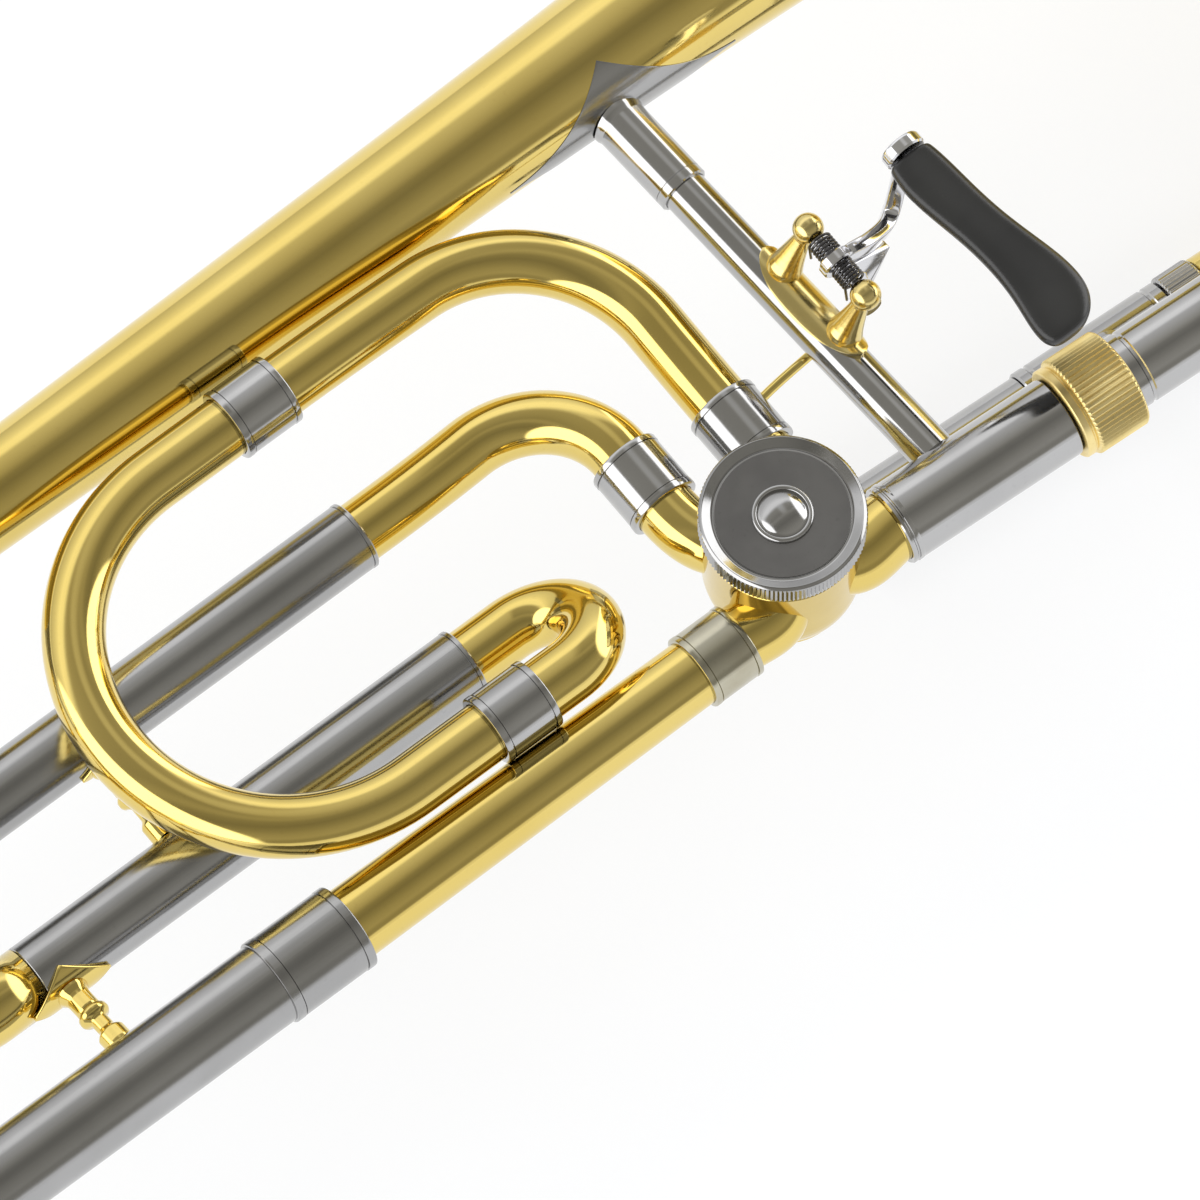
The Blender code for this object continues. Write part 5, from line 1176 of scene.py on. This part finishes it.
def makeInnerSlide():
    form = slideForm
    tube, bore, barrel = innerRadius, innerRadius - wall, form["barrel"]
    step, body = barrelStart + 0.006, "inner_slide"
    barrelShape = [
        (barrelStart, barrel - 0.0004), (barrelStart + 0.0004, barrel),
        *groove(barrelStart + 0.0025, barrel, 0.0003, 0.0003, 0.0012),
        *groove(barrelEnd - 0.0037, barrel, 0.0003, 0.0003, 0.0012),
        (barrelEnd - 0.0004, barrel), (barrelEnd, barrel - 0.0004),
        (barrelEnd, tube + 0.0001), (step, tube + 0.0001), (step, bore),
    ]
    stations = [(form["shankStart"], bore), (form["shankStart"], form["shankTip"]), (barrelStart, form["shank"])]
    turned("neckBarrel", "polishedNickel", body, stations + barrelShape, (0, 0, 0), xAxis, 80, True)
    turned("mouthBarrel", "polishedNickel", body, [(barrelStart, bore)] + barrelShape, mouthLine, xAxis, 80, True)
    for name, at in (
        ("innerTubeNeck", Vector()), ("innerTubeMouth", mouthLine)
    ):
        start = step + gap
        turned(
            name, "polishedNickel", body, sleeveStations(form["inner"] - gap, tube, bore, 0.0002),
            at + xAxis * start, xAxis, 64, True
        )
    end = barrelStart - gap
    start, lip = end - form["mouthLength"], form["contact"]
    stations = [
        (start, form["mouthBore"]), (start, lip - 0.0004), (start + 0.0004, lip), (start + 0.0030, lip),
        (start + 0.0034, lip - 0.0003), (start + 0.0045, lip * 0.9), (end, lip * 0.88), (end, bore),
        (start + form["mouthDepth"], form["mouthBoreEnd"]),
    ]
    turned("mouthpieceReceiver", "polishedNickel", body, stations, mouthLine, xAxis, 80, True)
    braceAt = barrelStart + form["barrelLength"] / 2
    makeSlideBrace("innerSlideBrace", body, braceAt, form["barrel"])
    braceAt = outerStart + form["grip"] / 2
    makeSlideBrace("outerSlideBrace", "outer_slide", braceAt, form["gripRadius"])


def makeSlideBrace(name, body, x, tube):
    thin = slideForm["brace"]
    first, last, foot = tube - 0.0001, layout["slideSpacing"] - tube + 0.0001, thin * 1.6
    stations = [(first, 0.0), (first, foot), (first + 0.0022, foot), (first + 0.0030, foot * 0.86)]
    stations += [(first + 0.0045, thin * 1.12), (first + 0.0065, thin)]
    mirrored = [(first + last - distance, radius) for distance, radius in stations[::-1]]
    turned(name, "polishedNickel", body, stations + mirrored, (x, 0, 0), slideSide, 64)


def makeLockRing():
    form = slideForm
    start, length, radius, bore = barrelEnd + gap, form["lockRing"], form["contact"], innerRadius + gap
    stations = ringStations(0, length, radius, bore, 0.0005)
    shape = lathe(stations, mouthLine + xAxis * start, xAxis, 288, True)
    ribbed(shape, mouthLine + xAxis * start, xAxis, 48, 0.0003, 0.0003, length - 0.0003, radius - 0.00001)
    settle("slideLockRing", shape, "polishedNickel", "lock_ring", sharp=50)


def makeOuterSlide():
    form, body = slideForm, "outer_slide"
    radius, wide, grip = form["outerRadius"], form["gripRadius"], outerStart + form["grip"]
    stations = [
        (outerStart, radius - wall), (outerStart, wide - 0.0003), (outerStart + 0.0003, wide),
        (grip - 0.0004, wide), (grip + 0.0014, radius + 0.0001), (grip + 0.002, radius),
        (outerEnd, radius), (outerEnd, radius - wall),
    ]
    for name, at in (
        ("outerTubeNeck", Vector()), ("outerTubeMouth", mouthLine)
    ):
        turned(name, "lacqueredBrass", body, stations, at, xAxis, 72, True)
    bow = Route((outerEnd + gap, 0, 0), xAxis).ahead(form["bowSeat"])
    bow.bend(layout["slideSpacing"] / 2, 180, slideSide, 48).ahead(form["bowSeat"])
    bentTube("slideBow", bow.points, radius, body)
    for name, at in (
        ("bowFerruleNeck", Vector()), ("bowFerruleMouth", mouthLine)
    ):
        stations = ferruleStations(form["ferrule"], form["contact"] - 0.00025, radius + 0.0001)
        turned(
            name, "polishedNickel", body, stations, at + xAxis * (outerEnd - form["ferrule"] / 2), xAxis, 80, True
        )
    tip = outerEnd + gap + form["bowSeat"] + layout["slideSpacing"] / 2 + radius - 0.0003
    length, wide = form["bumperLength"] + gap + 0.0003, form["bumper"]
    stations = [
        (0, 0.0), (0, wide * 0.8), (length * 0.15, wide * 0.94), (length * 0.3, wide), (length * 0.8, wide),
        (length * 0.94, wide * 0.93), (length, wide * 0.8), (length, 0.0),
    ]
    turned("slideBumper", "stopRubber", body, stations, mouthLine / 2 + xAxis * tip, xAxis, 64)


keyForm = {"setback": 0.012, "height": 0.0052, "arm": 0.0011, "pad": 0.0032, "padThickness": 0.0022, "nipple": 0.0016,
           "nippleSetback": 0.020, "seatLength": 0.032, "seatThickness": 0.0006, "post": 0.0010, "barrel": 0.0016}


def makeWaterKey():
    form, tube = keyForm, slideForm["outerRadius"]
    up = -slideSide
    across = xAxis.cross(up)
    x = outerEnd - slideForm["ferrule"] / 2 - form["setback"]
    hingeAt = xAxis * x + up * (tube + form["height"])
    tubePoint = hingeAt - up * form["height"]
    nippleAt = tubePoint - xAxis * form["nippleSetback"]
    shape = wrappedPlate(
        tubePoint - up * tube - xAxis * form["nippleSetback"] / 2, xAxis, up, form["seatLength"], math.radians(40),
        lambda distance: tube + 0.00005, boat(0.15), (30, 14),
    )
    plated(settle("waterKeySeat", shape, "lacqueredBrass", "outer_slide"), form["seatThickness"])
    postGap = form["arm"] * 2 + gap
    for name, sign in (("keyPostLeft", -1), ("keyPostRight", 1)):
        drop = form["height"] + 0.0003
        foot = hingeAt + across * sign * (postGap + 0.0007) - up * drop
        post, tip = form["post"], drop + 0.0010
        stations = [(0, 0.0), (0, post), (tip - 0.0003, post), (tip, post - 0.0003), (tip, 0.0)]
        turned(name, "lacqueredBrass", "outer_slide", stations, foot, up, 24)
    stations = [(0, 0.0012), (0, 0.0026), (0.0005, 0.0023), (form["nipple"], 0.0020), (form["nipple"], 0.0012)]
    turned("waterNipple", "lacqueredBrass", "outer_slide", stations, nippleAt, up, 40, True)
    padAt = nippleAt + up * (form["nipple"] + gap)
    high, wide = form["padThickness"], form["pad"]
    stations = [(0.0003, 0.0), (0, wide * 0.8), (0, wide), (high * 0.7, wide), (high, wide * 0.75), (high, 0.0)]
    turned("waterKeyPad", "lacqueredBrass", "water_key", stations, padAt, up, 48, node="water_key")
    padTop = padAt + up * high * 0.7
    points = [padTop, padTop + xAxis * 0.004 + up * 0.0006, hingeAt - xAxis * 0.004 + up * 0.0006, hingeAt]
    points += [hingeAt + xAxis * 0.008 + up * 0.0010, hingeAt + xAxis * 0.014 + up * 0.0022]
    shape = sweep(points, form["arm"], 20, capped=True)
    settle("waterKeyArm", shape, "lacqueredBrass", "water_key", sharp=60)
    half = postGap - 0.0006
    stations = [(-half, 0.0), (-half, form["barrel"]), (half, form["barrel"]), (half, 0.0)]
    turned("waterKeyBarrel", "lacqueredBrass", "water_key", stations, hingeAt, across, 32)


makeBell()
makeBellFlange()
makeBrace()
print("bell, flange and brace made")
makeReceiver()
makeLockNut()
makeCap()
makeCasing()
makeStops()
print("valve and receiver made")
makeFerrules()
makeStraightTubes()
makeTuningLegs()
makeBends()
makeStays()
print("tubing made")
makeSaddle()
makeSprings()
makeLever()
makePaddle()
makeLink()
print("thumb lever made")
makeInnerSlide()
makeLockRing()
makeOuterSlide()
makeWaterKey()
print("handslide made")

for node, look in (("valve_rotor", "rawBrass"), ("bearing_plate", "rawBrass")):
    kept = frame["nodes"][node]
    kept.data.materials.clear()
    kept.data.materials.append(materials[look])


# studio
studio = {
    "floorSize": 6.0, "floorWhite": 0.87, "floorZ": -0.0002, "tints": [(0.975, 1, 1.045), (0.97, 1, 1.05)],
    "glow": 0.68, "glowStrength": 1.08, "fill": 0.92,
}
cameraForm = {
    "along": Vector((0.23612, 0.29649, -0.92539)), "right": Vector((0.7845, -0.6201, 0.0)),
    "target": home + Vector((-0.03286, 0.01758, -0.00636)), "distance": 7.973, "lens": 1200.0,
    "sensor": 36.0, "near": 0.05, "far": 50.0,
}


def seenDirectly(recipe):
    # 1 for the camera, for what metal mirrors and for what glass shows
    path = recipe.tree.nodes.new("ShaderNodeLightPath")
    rays = [Wire(recipe, path.outputs[name]) for name in ("Is Camera Ray", "Is Glossy Ray", "Is Transmission Ray")]
    first = rays[0].math("MAXIMUM", rays[0], rays[1])
    return first.math("MAXIMUM", first, rays[2])


def makeFloor():
    shape = bmesh.new()
    bmesh.ops.create_circle(shape, cap_ends=True, segments=96, radius=studio["floorSize"])
    floor = meshed("studioFloor", shape)
    floor.location = (0, 0, studio["floorZ"])
    material, recipe, shader, place = newMaterial("floorPaper")
    white = studio["floorWhite"]
    cloud = recipe.noise(place, 3.0, 2.0, 0.5)
    tints = [colour(*(white * part for part in tint)) for tint in studio["tints"]]
    recipe.fill(shader, {"Base Color": recipe.mix(cloud, *tints), "Roughness": 0.9, "Specular IOR Level": 0.1})
    glow = recipe.node("ShaderNodeEmission", {}, {"Color": colour(1, 1, 1), "Strength": studio["glowStrength"]})
    share = seenDirectly(recipe) * studio["glow"]
    mixed = recipe.node("ShaderNodeMixShader", {}, {0: share, 1: Wire(recipe, shader.outputs[0]), 2: glow})
    recipe.fill(material.node_tree.nodes["Material Output"], {"Surface": mixed})
    floor.data.materials.append(material)


tent = {
    # direction in the plane across the instrument, in turns from the bell's side, and its brightness
    "stops": [
        (0.000, 0.66), (0.045, 0.86), (0.072, 1.02), (0.100, 1.26), (0.130, 1.22), (0.152, 0.70), (0.197, 0.58),
        (0.232, 0.46), (0.266, 0.28), (0.300, 0.23), (0.341, 0.30), (0.375, 0.37), (0.420, 0.42), (0.452, 0.32),
        (0.474, 0.34), (0.488, 0.92), (0.540, 0.94), (0.600, 0.84),
    ],
    "softbox": 2.6, "frontEdge": 0.78, "backEdge": 0.72, "soften": 0.03, "darker": 0.38, "warmth": 0.14,
}


def makeWorld():
    # a white tent, open and darker where the camera stands, with a softbox at each end
    world = bpy.data.worlds.new("studioWorld")
    bpy.context.scene.world = world
    world.use_nodes = True
    tree = world.node_tree
    recipe = Recipe(tree)
    direction = recipe.node("ShaderNodeTexCoord", {}, {}, "Generated")
    parts = recipe.node("ShaderNodeSeparateXYZ", {}, {"Vector": direction}, "X")
    x, y, z = (Wire(recipe, parts.socket.node.outputs[name]) for name in "XYZ")
    turn = z.math("ARCTAN2", z, y) * (0.5 / math.pi)
    turn = turn.math("FRACT", turn)
    stops = [(place, colour(level / 2, level / 2, level / 2)) for place, level in tent["stops"]]
    level = recipe.node("ShaderNodeValToRGB", {"stops": stops}, {"Fac": turn}) * 2.0
    # the far side of the opening is darker away from its middle
    aside = (1 - x.over(0.0, 0.20) * (1 - x.over(0.28, 0.52))) * y.over(0.0, 0.2)
    level = level * (1 - aside * (1 - y.over(0.5, 0.65)) * z.over(0.4, 0.6) * tent["darker"])
    front, back, soft = tent["frontEdge"], tent["backEdge"], tent["soften"]
    frontBox = x.over(front - soft, front + soft)
    backBox = (x * -1.0).over(back - soft, back + soft)
    boxes = frontBox.math("MAXIMUM", frontBox, backBox) * z.over(0.0, 0.04)
    level = level * (1 - boxes) + boxes * tent["softbox"]
    seen = seenDirectly(recipe)
    strength = level * seen + (1 - seen) * studio["fill"]
    # the dark parts are a little warm
    share = (1 - level.over(0.3, 0.8)) * seen
    warm = colour(1, 1 - tent["warmth"] * 0.25, 1 - tent["warmth"])
    recipe.fill(tree.nodes["Background"], {"Color": recipe.mix(share, colour(1, 1, 1), warm), "Strength": strength})


lamps = {
    "keyLamp": {"at": (-0.6, 1.5, 1.5), "size": 1.6, "power": 14.0},
    "fillLamp": {"at": (0.2, -1.7, 1.1), "size": 1.4, "power": 8.0},
}


def makeLamps():
    for name, form in lamps.items():
        light = bpy.data.lights.new(name, "AREA")
        light.shape = "DISK"
        light.size = form["size"]
        light.energy = form["power"]
        lamp = linked(name, light)
        lamp.location = home + Vector(form["at"])
        lamp.rotation_mode = "QUATERNION"
        lamp.rotation_quaternion = Vector(form["at"]).to_track_quat("Z", "Y")
        lamp.visible_glossy = False


def makeCamera():
    form = cameraForm
    data = bpy.data.cameras.new("photoCamera")
    data.lens = form["lens"]
    data.sensor_width = form["sensor"]
    data.clip_start, data.clip_end = form["near"], form["far"]
    camera = linked("photoCamera", data)
    back = -form["along"].normalized()
    right = form["right"].normalized()
    up = back.cross(right).normalized()
    right = up.cross(back).normalized()
    turn = Matrix((right, up, back)).transposed().to_4x4()
    camera.matrix_world = Matrix.Translation(form["target"] + back * form["distance"]) @ turn
    bpy.context.scene.camera = camera


makeFloor()
makeWorld()
makeLamps()
makeCamera()
bpy.context.scene.view_settings.view_transform = "Standard"
print("studio made")

bpy.context.view_layer.update()
